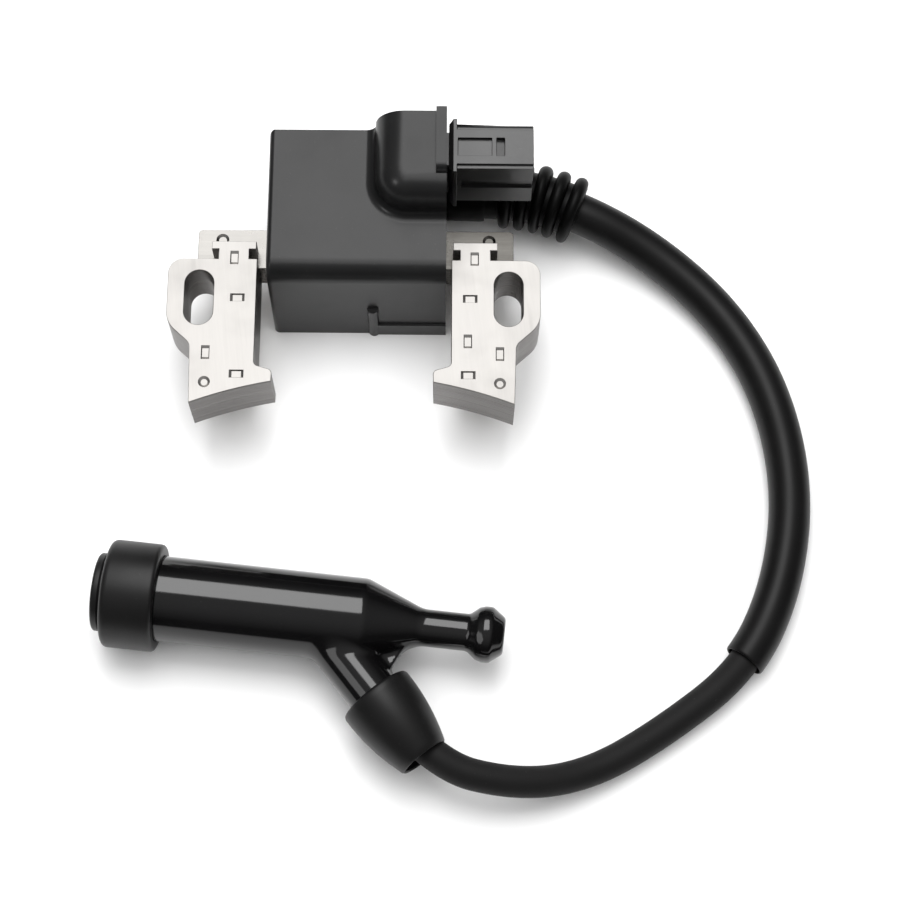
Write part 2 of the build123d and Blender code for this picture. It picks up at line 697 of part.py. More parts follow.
def lead_bellows_boot():
    """Base cap over the tower, then a convoluted stretch along the lead."""
    tower_y, tower_z = tower_axis()
    base_end = CASE_RIGHT_X + BOOT_BASE_LENGTH
    boot = rod(CASE_RIGHT_X, base_end, BOOT_BASE_DIAMETER, tower_y, tower_z)
    wire = lead_wire()
    start_s = base_end - LEAD_ROUTE[0][0] - 1.0
    end_s = RING_FIRST + RING_PITCH * (RING_COUNT - 1) + RING_THICK / 2
    boot += swept(along_lead(start_s, end_s), Circle(BOOT_VALLEY_DIAMETER / 2))
    ring_major = (RING_DIAMETER - RING_THICK) / 2
    for index in range(RING_COUNT):
        place = wire.location_at((RING_FIRST + RING_PITCH * index) / wire.length)
        boot += place * Torus(ring_major, RING_THICK / 2)
    bore = SLEEVE_DIAMETER / 2 + BOOT_BORE_FIT
    boot -= swept(along_lead(SLEEVE_START - 2.0, end_s + 3.0), Circle(bore))
    tower_end = CASE_RIGHT_X + TOWER_LENGTH
    boot -= rod(CASE_RIGHT_X - 1, tower_end + 1.0, TOWER_DIAMETER + 2 * LEAD_FIT, tower_y, tower_z)
    boot -= rod(CASE_RIGHT_X - 1, base_end, LEAD_DIAMETER + 1.0, tower_y, tower_z)
    return boot


# ---------------------------------------------------------------- plug cap, built about its own axes
# The cap's X axis is the plug's axis, with the mouth at -X and the pull knob at +X. The
# branch for the lead leaves the origin towards +X and -Y.
def cap_place():
    """The cap sits where the lead's last run ends, on the branch's axis."""
    before = Vector(*LEAD_ROUTE[-2])
    end = Vector(*LEAD_ROUTE[-1])
    outward = (before - end).normalized()
    heading = math.degrees(math.atan2(outward.Y, outward.X))
    centre = end - outward * BRANCH_LEAD_END
    return Pos(centre.X, centre.Y, centre.Z) * Rot(0, 0, heading + BRANCH_ANGLE)


def on_branch(solid):
    """Turns a piece made along +X onto the branch's axis."""
    return Rot(0, 0, -BRANCH_ANGLE) * solid


def knob_profile():
    neck = NECK_DIAMETER / 2
    knob = KNOB_DIAMETER / 2
    return [
        (CONE_START, 0), (CONE_START, BODY_DIAMETER / 2), (CONE_END, neck), (KNOB_START, neck),
        (KNOB_WIDEST - 1.4, knob - 0.4), (KNOB_WIDEST, knob), (KNOB_WIDEST + 1.6, knob),
        (KNOB_END, KNOB_FACE_DIAMETER / 2), (KNOB_END, 0),
    ]


def cap_body():
    body = rod(-BODY_MOUTH, CONE_START, BODY_DIAMETER)
    body += turned(knob_profile())
    body += on_branch(rod(0, BRANCH_LENGTH, BRANCH_DIAMETER))
    web_plane = Plane.XY.offset(-WEB_THICK / 2)
    web_reach = ENTRY_START - 0.6
    angle = math.radians(BRANCH_ANGLE)
    tip = (web_reach * math.cos(angle) + 4.0, 4.0 - web_reach * math.sin(angle))
    web = make_face(Polyline((10, 0), (21.5, -4.0), tip, (8, -10), close=True))
    body += extrude(web_plane * web, WEB_THICK)

    body -= rod(-BODY_MOUTH - 1, PLUG_BORE_DEPTH - BODY_MOUTH, PLUG_BORE)
    socket_start = PLUG_BORE_DEPTH - BODY_MOUTH
    body -= rod(socket_start - 1, socket_start + SOCKET_TUBE, SOCKET_DIAMETER + 2 * CAP_FIT)
    body -= rod(socket_start, STEM_PAST_AXIS + CAP_FIT, STEM_DIAMETER + 2 * CAP_FIT)
    lead_start = screw_head_start() + SCREW_HEAD_THICK
    body -= on_branch(rod(0, lead_start, RESISTOR_DIAMETER + 2 * CAP_FIT))
    body -= on_branch(rod(lead_start - 0.01, BRANCH_LENGTH + 1, LEAD_DIAMETER + 2 * LEAD_FIT))
    return body


def spring_start():
    return STEM_DIAMETER / 2 + 0.3


def resistor_start():
    return spring_start() + SPRING_LENGTH


def screw_head_start():
    return resistor_start() + RESISTOR_LENGTH


def plug_socket():
    """Brass socket that snaps on the plug's terminal, with its stem to the branch."""
    start = PLUG_BORE_DEPTH - BODY_MOUTH
    socket = rod(start, start + SOCKET_TUBE, SOCKET_DIAMETER)
    socket += rod(start + SOCKET_TUBE - 0.5, STEM_PAST_AXIS, STEM_DIAMETER)
    socket -= rod(start - 1, start + SOCKET_BORE_DEPTH, SOCKET_BORE)
    groove = start + CLIP_SETBACK
    half_width = CLIP_WIRE / 2 + 0.05
    groove_diameter = CLIP_INNER + 2 * CLIP_WIRE + 0.1
    socket -= rod(groove - half_width, groove + half_width, groove_diameter)
    return socket


def clip_ring():
    """Open wire ring in the socket's groove."""
    radius = (CLIP_INNER + CLIP_WIRE) / 2
    ring = Torus(radius, CLIP_WIRE / 2)
    opening = Rot(0, 0, -CLIP_OPENING_ANGLE / 2) * Pos(radius, 0, 0) * Box(3, 2.4, 3)
    ring = Rot(0, 90, 0) * (ring - opening)
    return Pos(PLUG_BORE_DEPTH - BODY_MOUTH + CLIP_SETBACK, 0, 0) * ring


def contact_spring():
    """Small coil spring between the socket's stem and the resistor."""
    pitch = (SPRING_LENGTH - SPRING_WIRE) / (SPRING_TURNS - 1)
    mean_radius = (SPRING_DIAMETER - SPRING_WIRE) / 2
    path = Helix(pitch, SPRING_LENGTH - SPRING_WIRE, mean_radius)
    section = Plane(path.location_at(0)) * Circle(SPRING_WIRE / 2)
    turns = sweep(section, path=path, is_frenet=True)
    return on_branch(Pos(spring_start() + SPRING_WIRE / 2, 0, 0) * (Rot(0, 90, 0) * turns))


def suppressor_resistor():
    start = resistor_start()
    body = rod(start, start + RESISTOR_LENGTH, RESISTOR_DIAMETER - 0.6)
    for cap_start in (start, start + RESISTOR_LENGTH - RESISTOR_CAP):
        body += rod(cap_start, cap_start + RESISTOR_CAP, RESISTOR_DIAMETER)
    return on_branch(body)


def lead_screw():
    """Head against the resistor, and the pin that goes into the lead's core."""
    start = screw_head_start()
    screw = rod(start, start + SCREW_HEAD_THICK, RESISTOR_DIAMETER)
    screw += rod(start, BRANCH_LEAD_END + SCREW_IN_LEAD, SCREW_DIAMETER)
    return on_branch(screw)


def skirt_seal():
    """Rubber seal over the mouth of the cap, with a lip ring that grips the plug."""
    mouth = -BODY_MOUTH - SEAL_END_WALL
    seal = rod(mouth, mouth + SEAL_LENGTH, SEAL_DIAMETER)
    rims = seal.edges().filter_by(GeomType.CIRCLE)
    seal = fillet(rims, SEAL_ROUND)
    lip = rod(mouth - LIP_LENGTH, mouth + 1, LIP_DIAMETER)
    nose = lip.edges().filter_by(GeomType.CIRCLE).sort_by(Axis.X)[0]
    seal += fillet(nose, 1.0)
    seal -= rod(mouth - LIP_LENGTH - 1, mouth + 2, LIP_BORE)
    seal -= rod(-BODY_MOUTH, mouth + SEAL_LENGTH + 1, BODY_DIAMETER + 2 * CAP_FIT)
    return seal


def entry_boot():
    """Conical rubber hood over the branch's end, with room for the lead to bend in its mouth."""
    middle = (ENTRY_START + ENTRY_END) / 2
    arc = ThreePointArc(
        (ENTRY_START + ENTRY_ROUND, ENTRY_TOP_DIAMETER / 2),
        (middle, ENTRY_MIDDLE_DIAMETER / 2),
        (ENTRY_END, ENTRY_MOUTH_DIAMETER / 2),
    )
    bore = BRANCH_DIAMETER / 2 + CAP_FIT
    corners = Polyline(
        (ENTRY_END, ENTRY_MOUTH_DIAMETER / 2), (ENTRY_END, ENTRY_MOUTH_BORE / 2),
        (BRANCH_LENGTH + 0.2, bore), (ENTRY_START, bore),
        (ENTRY_START, ENTRY_TOP_DIAMETER / 2 - ENTRY_ROUND),
        (ENTRY_START + ENTRY_ROUND, ENTRY_TOP_DIAMETER / 2),
    )
    face = make_face(Wire(arc.edges() + corners.edges()))
    return on_branch(revolve(face, Axis.X))


# ---------------------------------------------------------------- all nodes
def main():
    os.makedirs("parts", exist_ok=True)
    left = Plane.YZ
    write("right_leg_upper_laminations", leg_upper(True))
    write("right_leg_lower_laminations", leg_lower())
    write("left_leg_upper_laminations", mirror(leg_upper(False), about=left))
    write("left_leg_lower_laminations", mirror(leg_lower(), about=left))
    write("core_bar_laminations", core_bar())

    write("coil_case", case_shell())
    write("primary_bobbin", primary_bobbin())
    write("primary_winding", primary_winding())
    write("secondary_bobbin", secondary_bobbin())
    write("secondary_winding", secondary_winding())
    blades = blade_blocks(0)
    held = {
        "igniter_board": igniter_board(),
        "power_transistor": power_transistor(),
        "storage_capacitor": storage_capacitor(),
        "trigger_resistors": trigger_resistors(),
        "ht_terminal": ht_terminal(),
        "connector_shell": connector_shell(),
        "connector_blades": Compound(children=blades),
    }
    for name, solid in held.items():
        write(name, solid)
    groups = ("connector_blades", "trigger_resistors")
    buried = [solid for name, solid in held.items() if name not in groups]
    resistors = held["trigger_resistors"].solids()
    write("potting_fill", potting_fill(buried + blades + resistors))

    write("ht_lead_insulation", lead_insulation())
    write("ht_lead_core", lead_core())
    write("lead_sleeve", lead_sleeve())
    write("lead_bellows_boot", lead_bellows_boot())

    place = cap_place()
    cap = {
        "cap_body": cap_body(),
        "cap_skirt_seal": skirt_seal(),
        "cap_entry_boot": entry_boot(),
        "cap_plug_socket": plug_socket(),
        "cap_clip_ring": clip_ring(),
        "cap_contact_spring": contact_spring(),
        "cap_resistor": suppressor_resistor(),
        "cap_lead_screw": lead_screw(),
    }
    for name, solid in cap.items():
        write(name, place * solid)

    print("lead bend radii", [round(radius, 1) for radius in lead_radii()])
    print("lead length", round(lead_wire().length, 1))


main()
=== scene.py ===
import math

import bmesh
import bpy
import numpy as np
from mathutils import Matrix, Vector


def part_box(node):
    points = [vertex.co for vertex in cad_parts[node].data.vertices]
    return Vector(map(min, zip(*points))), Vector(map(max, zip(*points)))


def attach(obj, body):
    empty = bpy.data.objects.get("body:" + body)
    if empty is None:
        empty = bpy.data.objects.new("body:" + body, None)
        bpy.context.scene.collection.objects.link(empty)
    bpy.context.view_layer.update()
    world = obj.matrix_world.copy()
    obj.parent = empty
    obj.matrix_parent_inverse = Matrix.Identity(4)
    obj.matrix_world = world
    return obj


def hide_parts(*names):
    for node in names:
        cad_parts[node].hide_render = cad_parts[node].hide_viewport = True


# Small-engine ignition coil with its lead and plug cap, in metres, in the frame of the CAD model:
# +X from the left leg to the right one, -Y towards the flywheel, and the bench at z = 0.

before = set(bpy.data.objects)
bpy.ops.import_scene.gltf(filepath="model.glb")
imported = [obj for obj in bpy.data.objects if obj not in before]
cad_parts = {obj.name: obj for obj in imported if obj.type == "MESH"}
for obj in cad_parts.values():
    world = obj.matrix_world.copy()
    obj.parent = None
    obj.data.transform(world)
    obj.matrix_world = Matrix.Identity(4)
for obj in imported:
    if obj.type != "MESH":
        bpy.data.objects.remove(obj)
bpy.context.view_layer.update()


# ---------------------------------------------------------------- camera
CAMERA_PLACE = (0.02082, -0.19874, 0.48558)
CAMERA_TILT = 0.3268
CAMERA_TURN = -0.00719
CAMERA_ROLL = 0.01354
CAMERA_LENS = 88.0


def place_camera():
    data = bpy.data.cameras.new("bench_camera")
    data.sensor_width = 36.0
    data.lens = CAMERA_LENS
    data.clip_start = 0.01
    data.clip_end = 20.0
    camera = bpy.data.objects.new("bench_camera", data)
    bpy.context.scene.collection.objects.link(camera)
    turn = Matrix.Rotation(CAMERA_TURN, 3, "Z")
    ahead = turn @ Vector((0, math.sin(CAMERA_TILT), -math.cos(CAMERA_TILT)))
    right = turn @ Vector((1, 0, 0))
    above = right.cross(ahead)
    rolled_right = math.cos(CAMERA_ROLL) * right + math.sin(CAMERA_ROLL) * above
    rolled_above = -math.sin(CAMERA_ROLL) * right + math.cos(CAMERA_ROLL) * above
    axes = Matrix((rolled_right, rolled_above, -ahead)).transposed()
    camera.matrix_world = Matrix.Translation(CAMERA_PLACE) @ axes.to_4x4()
    bpy.context.scene.camera = camera


place_camera()


# ---------------------------------------------------------------- node trees
def wire(tree, source, target):
    tree.links.new(source, target)


def mix_values(tree, operation, first, second):
    """A Math node whose two inputs are sockets or numbers; gives its output."""
    node = tree.nodes.new("ShaderNodeMath")
    node.operation = operation
    for socket, value in zip(node.inputs, (first, second)):
        if isinstance(value, bpy.types.NodeSocket):
            tree.links.new(value, socket)
        else:
            socket.default_value = value
    return node.outputs[0]


def spread_range(tree, value, low, high, to_low=0.0, to_high=1.0):
    node = tree.nodes.new("ShaderNodeMapRange")
    node.clamp = True
    tree.links.new(value, node.inputs["Value"])
    node.inputs["From Min"].default_value = low
    node.inputs["From Max"].default_value = high
    node.inputs["To Min"].default_value = to_low
    node.inputs["To Max"].default_value = to_high
    return node.outputs["Result"]


def two_tones(tree, factor, first, second):
    """A colour between two, by a mask."""
    node = tree.nodes.new("ShaderNodeMix")
    node.data_type = "RGBA"
    tree.links.new(factor, node.inputs["Factor"])
    colour_inputs = [socket for socket in node.inputs if socket.type == "RGBA"]
    for socket, colour in zip(colour_inputs, (first, second)):
        if isinstance(colour, bpy.types.NodeSocket):
            tree.links.new(colour, socket)
        else:
            socket.default_value = (*colour, 1.0)
    return [socket for socket in node.outputs if socket.type == "RGBA"][0]


def effect_group(name, inputs, outputs):
    """An empty shader group with named float inputs and outputs."""
    group = bpy.data.node_groups.new(name, "ShaderNodeTree")
    for label, value in inputs.items():
        socket = group.interface.new_socket(label, in_out="INPUT", socket_type="NodeSocketFloat")
        socket.default_value = value
    for label in outputs:
        group.interface.new_socket(label, in_out="OUTPUT", socket_type="NodeSocketFloat")
    return group, group.nodes.new("NodeGroupInput"), group.nodes.new("NodeGroupOutput")


def noise_on(tree, coordinates, scale, detail=2.0, roughness=0.5):
    node = tree.nodes.new("ShaderNodeTexNoise")
    node.inputs["Detail"].default_value = detail
    node.inputs["Roughness"].default_value = roughness
    if isinstance(scale, bpy.types.NodeSocket):
        tree.links.new(scale, node.inputs["Scale"])
    else:
        node.inputs["Scale"].default_value = scale
    tree.links.new(coordinates, node.inputs["Vector"])
    return node.outputs["Fac"]


def make_moulded_grain():
    """Fine spark-eroded skin of a moulding, with slow clouds in its tone."""
    group, given, result = effect_group(
        "moulded_grain", {"Grain Scale": 3000.0, "Cloud Scale": 70.0}, ["Height", "Cloud"]
    )
    place = group.nodes.new("ShaderNodeTexCoord").outputs["Object"]
    fine = noise_on(group, place, given.outputs["Grain Scale"], 3.0, 0.6)
    wire(group, fine, result.inputs["Height"])
    cloud = noise_on(group, place, given.outputs["Cloud Scale"], 4.0, 0.55)
    wire(group, spread_range(group, cloud, 0.3, 0.7), result.inputs["Cloud"])
    return group


def make_brushed_marks():
    """Drawn lines left by rolling and deburring, and a few stray scratches."""
    group, given, result = effect_group(
        "brushed_marks", {"Line Scale": 900.0, "Turn": 0.0}, ["Height", "Scratches"]
    )
    place = group.nodes.new("ShaderNodeTexCoord").outputs["Object"]
    turned = group.nodes.new("ShaderNodeVectorRotate")
    turned.rotation_type = "Z_AXIS"
    wire(group, place, turned.inputs["Vector"])
    wire(group, given.outputs["Turn"], turned.inputs["Angle"])
    squeezed = group.nodes.new("ShaderNodeVectorMath")
    squeezed.operation = "MULTIPLY"
    squeezed.inputs[1].default_value = (0.05, 1.0, 1.0)
    wire(group, turned.outputs["Vector"], squeezed.inputs[0])
    lines = noise_on(group, squeezed.outputs["Vector"], given.outputs["Line Scale"], 4.0, 0.7)
    wire(group, lines, result.inputs["Height"])
    stray = group.nodes.new("ShaderNodeVectorRotate")
    stray.rotation_type = "Z_AXIS"
    stray.inputs["Angle"].default_value = 0.9
    wire(group, squeezed.outputs["Vector"], stray.inputs["Vector"])
    marks = noise_on(group, stray.outputs["Vector"], 420.0, 1.0, 0.4)
    wire(group, spread_range(group, marks, 0.68, 0.74), result.inputs["Scratches"])
    return group


def make_sheet_edges():
    """Tone and gap of each sheet in a stack, from its height above the stack's foot."""
    group, given, result = effect_group(
        "sheet_edges", {"Foot": 0.012, "Sheet": 0.0005}, ["Tone", "Gap"]
    )
    place = group.nodes.new("ShaderNodeTexCoord").outputs["Object"]
    split = group.nodes.new("ShaderNodeSeparateXYZ")
    wire(group, place, split.inputs["Vector"])
    above = mix_values(group, "SUBTRACT", split.outputs["Z"], given.outputs["Foot"])
    count = mix_values(group, "DIVIDE", above, given.outputs["Sheet"])
    index = mix_values(group, "FLOOR", count, 0.0)
    chance = group.nodes.new("ShaderNodeTexWhiteNoise")
    chance.noise_dimensions = "1D"
    wire(group, index, chance.inputs["W"])
    wire(group, chance.outputs["Value"], result.inputs["Tone"])
    part = mix_values(group, "FRACT", count, 0.0)
    from_middle = mix_values(group, "ABSOLUTE", mix_values(group, "SUBTRACT", part, 0.5), 0.0)
    wire(group, spread_range(group, from_middle, 0.36, 0.5), result.inputs["Gap"])
    return group


def make_handling_marks():
    """Faint smears and dust on skins that have been handled."""
    group, given, result = effect_group(
        "handling_marks", {"Smear Scale": 45.0, "Dust Scale": 2200.0}, ["Smear", "Dust"]
    )
    place = group.nodes.new("ShaderNodeTexCoord").outputs["Object"]
    smear = noise_on(group, place, given.outputs["Smear Scale"], 5.0, 0.6)
    wire(group, spread_range(group, smear, 0.45, 0.75), result.inputs["Smear"])
    specks = noise_on(group, place, given.outputs["Dust Scale"], 1.0, 0.3)
    wire(group, spread_range(group, specks, 0.74, 0.8), result.inputs["Dust"])
    return group


def make_worn_edges():
    """Mask of the convex edges, broken up by noise."""
    group, given, result = effect_group("worn_edges", {"Start": 0.53, "Width": 0.08}, ["Mask"])
    sharp = group.nodes.new("ShaderNodeNewGeometry").outputs["Pointiness"]
    past = mix_values(group, "SUBTRACT", sharp, given.outputs["Start"])
    share = mix_values(group, "DIVIDE", past, given.outputs["Width"])
    place = group.nodes.new("ShaderNodeTexCoord").outputs["Object"]
    broken = spread_range(group, noise_on(group, place, 600.0, 3.0), 0.35, 0.6)
    mask = mix_values(group, "MULTIPLY", share, broken)
    wire(group, spread_range(group, mask, 0.0, 1.0), result.inputs["Mask"])
    return group


GRAIN = make_moulded_grain()
BRUSHED = make_brushed_marks()
SHEET_EDGES = make_sheet_edges()
HANDLING = make_handling_marks()
WORN = make_worn_edges()


def place_group(tree, group, **values):
    node = tree.nodes.new("ShaderNodeGroup")
    node.node_tree = group
    for key, value in values.items():
        node.inputs[key.replace("_", " ")].default_value = value
    return node


def begin_material(name, **fixed):
    """A material with its Principled shader; fixed values go on the shader's own sockets."""
    material = bpy.data.materials.new(name)
    material.use_nodes = True
    tree = material.node_tree
    tree.nodes.clear()
    shader = tree.nodes.new("ShaderNodeBsdfPrincipled")
    output = tree.nodes.new("ShaderNodeOutputMaterial")
    tree.links.new(shader.outputs["BSDF"], output.inputs["Surface"])
    for key, value in fixed.items():
        shader.inputs[key.replace("_", " ")].default_value = value
    return material, tree, shader


def raise_skin(tree, shader, height, strength, distance):
    bump = tree.nodes.new("ShaderNodeBump")
    bump.inputs["Strength"].default_value = strength
    bump.inputs["Distance"].default_value = distance
    tree.links.new(height, bump.inputs["Height"])
    tree.links.new(bump.outputs["Normal"], shader.inputs["Normal"])


# ---------------------------------------------------------------- finishes
def moulded(name, dark, light, rough, grain=3000.0, bump=0.25, depth=0.00003, smear=0.06, **fixed):
    """Moulded plastic or rubber: grain in its skin, clouds in its tone, smears in its gloss."""
    material, tree, shader = begin_material(name, **fixed)
    skin = place_group(tree, GRAIN, Grain_Scale=grain)
    marks = place_group(tree, HANDLING)
    worn = place_group(tree, WORN)
    tone = two_tones(tree, skin.outputs["Cloud"], dark, light)
    paler = tuple(min(1.0, channel * 1.9 + 0.012) for channel in light)
    edge = mix_values(tree, "MULTIPLY", worn.outputs["Mask"], 0.12)
    tone = two_tones(tree, edge, tone, paler)
    specks = mix_values(tree, "MULTIPLY", marks.outputs["Dust"], 0.05)
    tone = two_tones(tree, specks, tone, (0.22, 0.22, 0.21))
    tree.links.new(tone, shader.inputs["Base Color"])
    gloss = mix_values(tree, "MULTIPLY", marks.outputs["Smear"], smear)
    gloss = mix_values(tree, "ADD", gloss, rough)
    tree.links.new(gloss, shader.inputs["Roughness"])
    raise_skin(tree, shader, skin.outputs["Height"], bump, depth)
    return material


def rolled_steel(name, face, edge_dark, edge_light, rough, turn, painted_dark_span=None):
    """Bright rolled sheet on its flat faces, and grey sheared edges that show each sheet.

    The span along X, if given, runs from bare metal to the full strength of a painted dark reflection and
    painted shade, which covers everything beyond it.
    """
    material, tree, shader = begin_material(name, Metallic=1.0)
    marks = place_group(tree, BRUSHED, Line_Scale=1100.0, Turn=turn)
    smears = place_group(tree, HANDLING, Smear_Scale=90.0)
    sheets = place_group(tree, SHEET_EDGES)
    place = tree.nodes.new("ShaderNodeTexCoord")
    axes = tree.nodes.new("ShaderNodeSeparateXYZ")
    tree.links.new(place.outputs["Normal"], axes.inputs["Vector"])
    upright = mix_values(tree, "ABSOLUTE", axes.outputs["Z"], 0.0)
    flat = spread_range(tree, upright, 0.6, 0.85)
    darker = tuple(channel * 0.86 for channel in face)
    top = two_tones(tree, marks.outputs["Height"], darker, face)
    scratches = mix_values(tree, "MULTIPLY", marks.outputs["Scratches"], 0.3)
    top = two_tones(tree, scratches, top, tuple(channel * 0.7 for channel in face))
    edge = two_tones(tree, sheets.outputs["Tone"], edge_dark, edge_light)
    edge = two_tones(tree, sheets.outputs["Gap"], edge, tuple(channel * 0.5 for channel in edge_dark))
    tone = two_tones(tree, flat, edge, top)
    # Painted dark reflection and painted shade: along X the sheet's colour turns dark brown-grey.
    if painted_dark_span:
        spot = tree.nodes.new("ShaderNodeSeparateXYZ")
        tree.links.new(place.outputs["Object"], spot.inputs["Vector"])
        reach = mix_values(tree, "MULTIPLY", spread_range(tree, spot.outputs["X"], *painted_dark_span), 0.92)
        painted_dark_tone = two_tones(tree, marks.outputs["Height"], (0.1, 0.094, 0.085), (0.25, 0.24, 0.22))
        tone = two_tones(tree, reach, tone, painted_dark_tone)
    tree.links.new(tone, shader.inputs["Base Color"])
    patchy = mix_values(tree, "MULTIPLY", smears.outputs["Smear"], 0.12)
    tree.links.new(mix_values(tree, "ADD", patchy, rough), shader.inputs["Roughness"])
    raise_skin(tree, shader, marks.outputs["Height"], 0.3, 0.00002)
    return material


def drawn_metal(name, dark, light, rough):
    """Solid metal with drawing lines and dulled patches."""
    material, tree, shader = begin_material(name, Metallic=1.0)
    marks = place_group(tree, BRUSHED, Line_Scale=2400.0)
    smears = place_group(tree, HANDLING, Smear_Scale=220.0)
    tone = two_tones(tree, smears.outputs["Smear"], light, dark)
    tree.links.new(tone, shader.inputs["Base Color"])
    dulled = mix_values(tree, "MULTIPLY", smears.outputs["Smear"], 0.2)
    tree.links.new(mix_values(tree, "ADD", dulled, rough), shader.inputs["Roughness"])
    raise_skin(tree, shader, marks.outputs["Height"], 0.2, 0.00001)
    return material


LAMINATION = rolled_steel(
    "bright_lamination_steel", (0.79, 0.765, 0.735), (0.19, 0.18, 0.175), (0.25, 0.24, 0.235), 0.34, 1.45
)
# The core bar has a painted dark reflection and painted shade on its right end. It starts at x = 0 and is
# at full strength from x = 10 mm.
CORE = rolled_steel(
    "core_bar_steel", (0.66, 0.64, 0.61), (0.1, 0.09, 0.08), (0.18, 0.165, 0.15), 0.24, 0.0,
    painted_dark_span=(0.0, 0.01),
)
CASE = moulded(
    "case_plastic", (0.0115, 0.0115, 0.0118), (0.0165, 0.0165, 0.0168), 0.29, bump=0.18,
    Specular_IOR_Level=0.25,
)
CONNECTOR = moulded("connector_plastic", (0.014, 0.014, 0.0142), (0.019, 0.019, 0.0192), 0.28, bump=0.12)
RESIN = moulded(
    "potting_resin", (0.006, 0.006, 0.006), (0.012, 0.011, 0.01), 0.22, grain=260.0, depth=0.0001
)
BOBBIN = moulded("bobbin_plastic", (0.03, 0.027, 0.024), (0.042, 0.038, 0.033), 0.45)
BOARD = moulded("board_laminate", (0.02, 0.09, 0.03), (0.03, 0.13, 0.045), 0.4, grain=1800.0)
PACKAGE = moulded("component_epoxy", (0.018, 0.018, 0.018), (0.03, 0.03, 0.03), 0.5, grain=5000.0)
FILM = moulded("capacitor_film", (0.3, 0.11, 0.02), (0.4, 0.16, 0.03), 0.35)
LEAD = moulded(
    "lead_rubber", (0.0095, 0.0092, 0.0094), (0.0135, 0.013, 0.0132), 0.66, grain=1600.0, bump=0.35,
    Specular_IOR_Level=0.3,
)
SLEEVE = moulded(
    "sleeve_rubber", (0.0045, 0.0043, 0.0044), (0.0075, 0.0072, 0.0074), 0.42, grain=2200.0, bump=0.3,
    Specular_IOR_Level=0.24,
)
BOOT = moulded(
    "boot_rubber", (0.0015, 0.0015, 0.0015), (0.003, 0.003, 0.003), 0.45, grain=2400.0, bump=0.25,
    Specular_IOR_Level=0.12,
)
SEAL = moulded(
    "seal_rubber", (0.0075, 0.0073, 0.0074), (0.0115, 0.0111, 0.0113), 0.42, grain=2600.0, bump=0.3,
    Specular_IOR_Level=0.33,
)
GLOSSY = moulded(
    "cap_phenolic", (0.004, 0.0039, 0.0042), (0.006, 0.0058, 0.0062), 0.1, grain=420.0, bump=0.04,
    depth=0.00003, smear=0.04,
)
CERAMIC = moulded("resistor_ceramic", (0.5, 0.46, 0.4), (0.6, 0.56, 0.5), 0.5, grain=1500.0)
COPPER = drawn_metal("copper_wire", (0.5, 0.2, 0.09), (0.8, 0.38, 0.2), 0.3)
BRASS = drawn_metal("terminal_brass", (0.45, 0.32, 0.13), (0.75, 0.56, 0.27), 0.28)
TIN = drawn_metal("blade_tin", (0.45, 0.45, 0.44), (0.72, 0.72, 0.7), 0.3)
SPRING = drawn_metal("spring_steel", (0.35, 0.35, 0.35), (0.6, 0.6, 0.6), 0.25)


# ---------------------------------------------------------------- shape helpers
# Faces that meet at more degrees than these show an edge.
MOULDED_CREASE = 32.0
TURNED_CREASE = 40.0
SHEET_CREASE = 18.0
PRESSED_CREASE = 12.0


def new_piece(name, mesh, material, body):
    """Links a finished mesh at the origin; it rides on its body and takes its slot's finish."""
    piece = bpy.data.objects.new(name, mesh)
    bpy.context.scene.collection.objects.link(piece)
    if not mesh.materials:
        mesh.materials.append(material)
    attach(piece, body)
    return piece


def node_shape(node):
    """A CAD node's triangles, merged into one shell."""
    shape = bmesh.new()
    shape.from_mesh(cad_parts[node].data)
    bmesh.ops.remove_doubles(shape, verts=shape.verts[:], dist=3e-6)
    return shape


def to_mesh(shape, name, crease=MOULDED_CREASE):
    mesh = bpy.data.meshes.new(name)
    shape.to_mesh(mesh)
    shape.free()
    handed_down = mesh.attributes.get("custom_normal")
    if handed_down:
        mesh.attributes.remove(handed_down)
    mesh.shade_smooth()
    mesh.set_sharp_from_angle(angle=math.radians(crease))
    return mesh


def edged_copy(node, name, material, body, width, segments=2):
    """A CAD node's own shape with its sharp edges broken, as a moulding or a machined part has."""
    mesh = to_mesh(node_shape(node), name)
    piece = new_piece(name, mesh, material, body)
    bevel = piece.modifiers.new("broken_edges", "BEVEL")
    bevel.width = width
    bevel.segments = segments
    bevel.limit_method = "ANGLE"
    bevel.angle_limit = math.radians(MOULDED_CREASE)
    bevel.harden_normals = True
    bevel.miter_outer = "MITER_ARC"
    weighted = piece.modifiers.new("flat_faces_stay_flat", "WEIGHTED_NORMAL")
    weighted.weight = 90
    weighted.keep_sharp = True
    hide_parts(node)
    return piece


# ---------------------------------------------------------------- the lead's line
LEAD_ROUTE = [
    (0.0194, 0.0270, 0.0110),
    (0.0360, 0.0270, 0.0110),
    (0.0523, 0.0221, 0.0107),
    (0.0697, 0.0136, 0.0066),
    (0.0862, -0.0014, 0.0048),
    (0.0968, -0.0211, 0.0048),
    (0.1008, -0.0452, 0.0048),
    (0.0971, -0.0686, 0.0048),
    (0.0878, -0.0873, 0.0050),
    (0.0696, -0.1012, 0.0038),
    (0.0532, -0.1109, 0.0046),
    (0.0370, -0.1143, 0.0096),
    (0.0179, -0.1101, 0.0120),
    (0.0055, -0.0944, 0.0120),
]
LEAD_DIAMETER = 0.007


def lead_curve(name, bevel):
    data = bpy.data.curves.new(name, "CURVE")
    data.dimensions = "3D"
    spline = data.splines.new("NURBS")
    spline.points.add(len(LEAD_ROUTE) - 1)
    for point, place in zip(spline.points, LEAD_ROUTE):
        point.co = (*place, 1.0)
    spline.order_u = 3
    spline.use_endpoint_u = True
    spline.resolution_u = 24
    data.bevel_depth = bevel
    data.bevel_resolution = 10
    data.use_fill_caps = bevel > 0
    return bpy.data.objects.new(name, data)


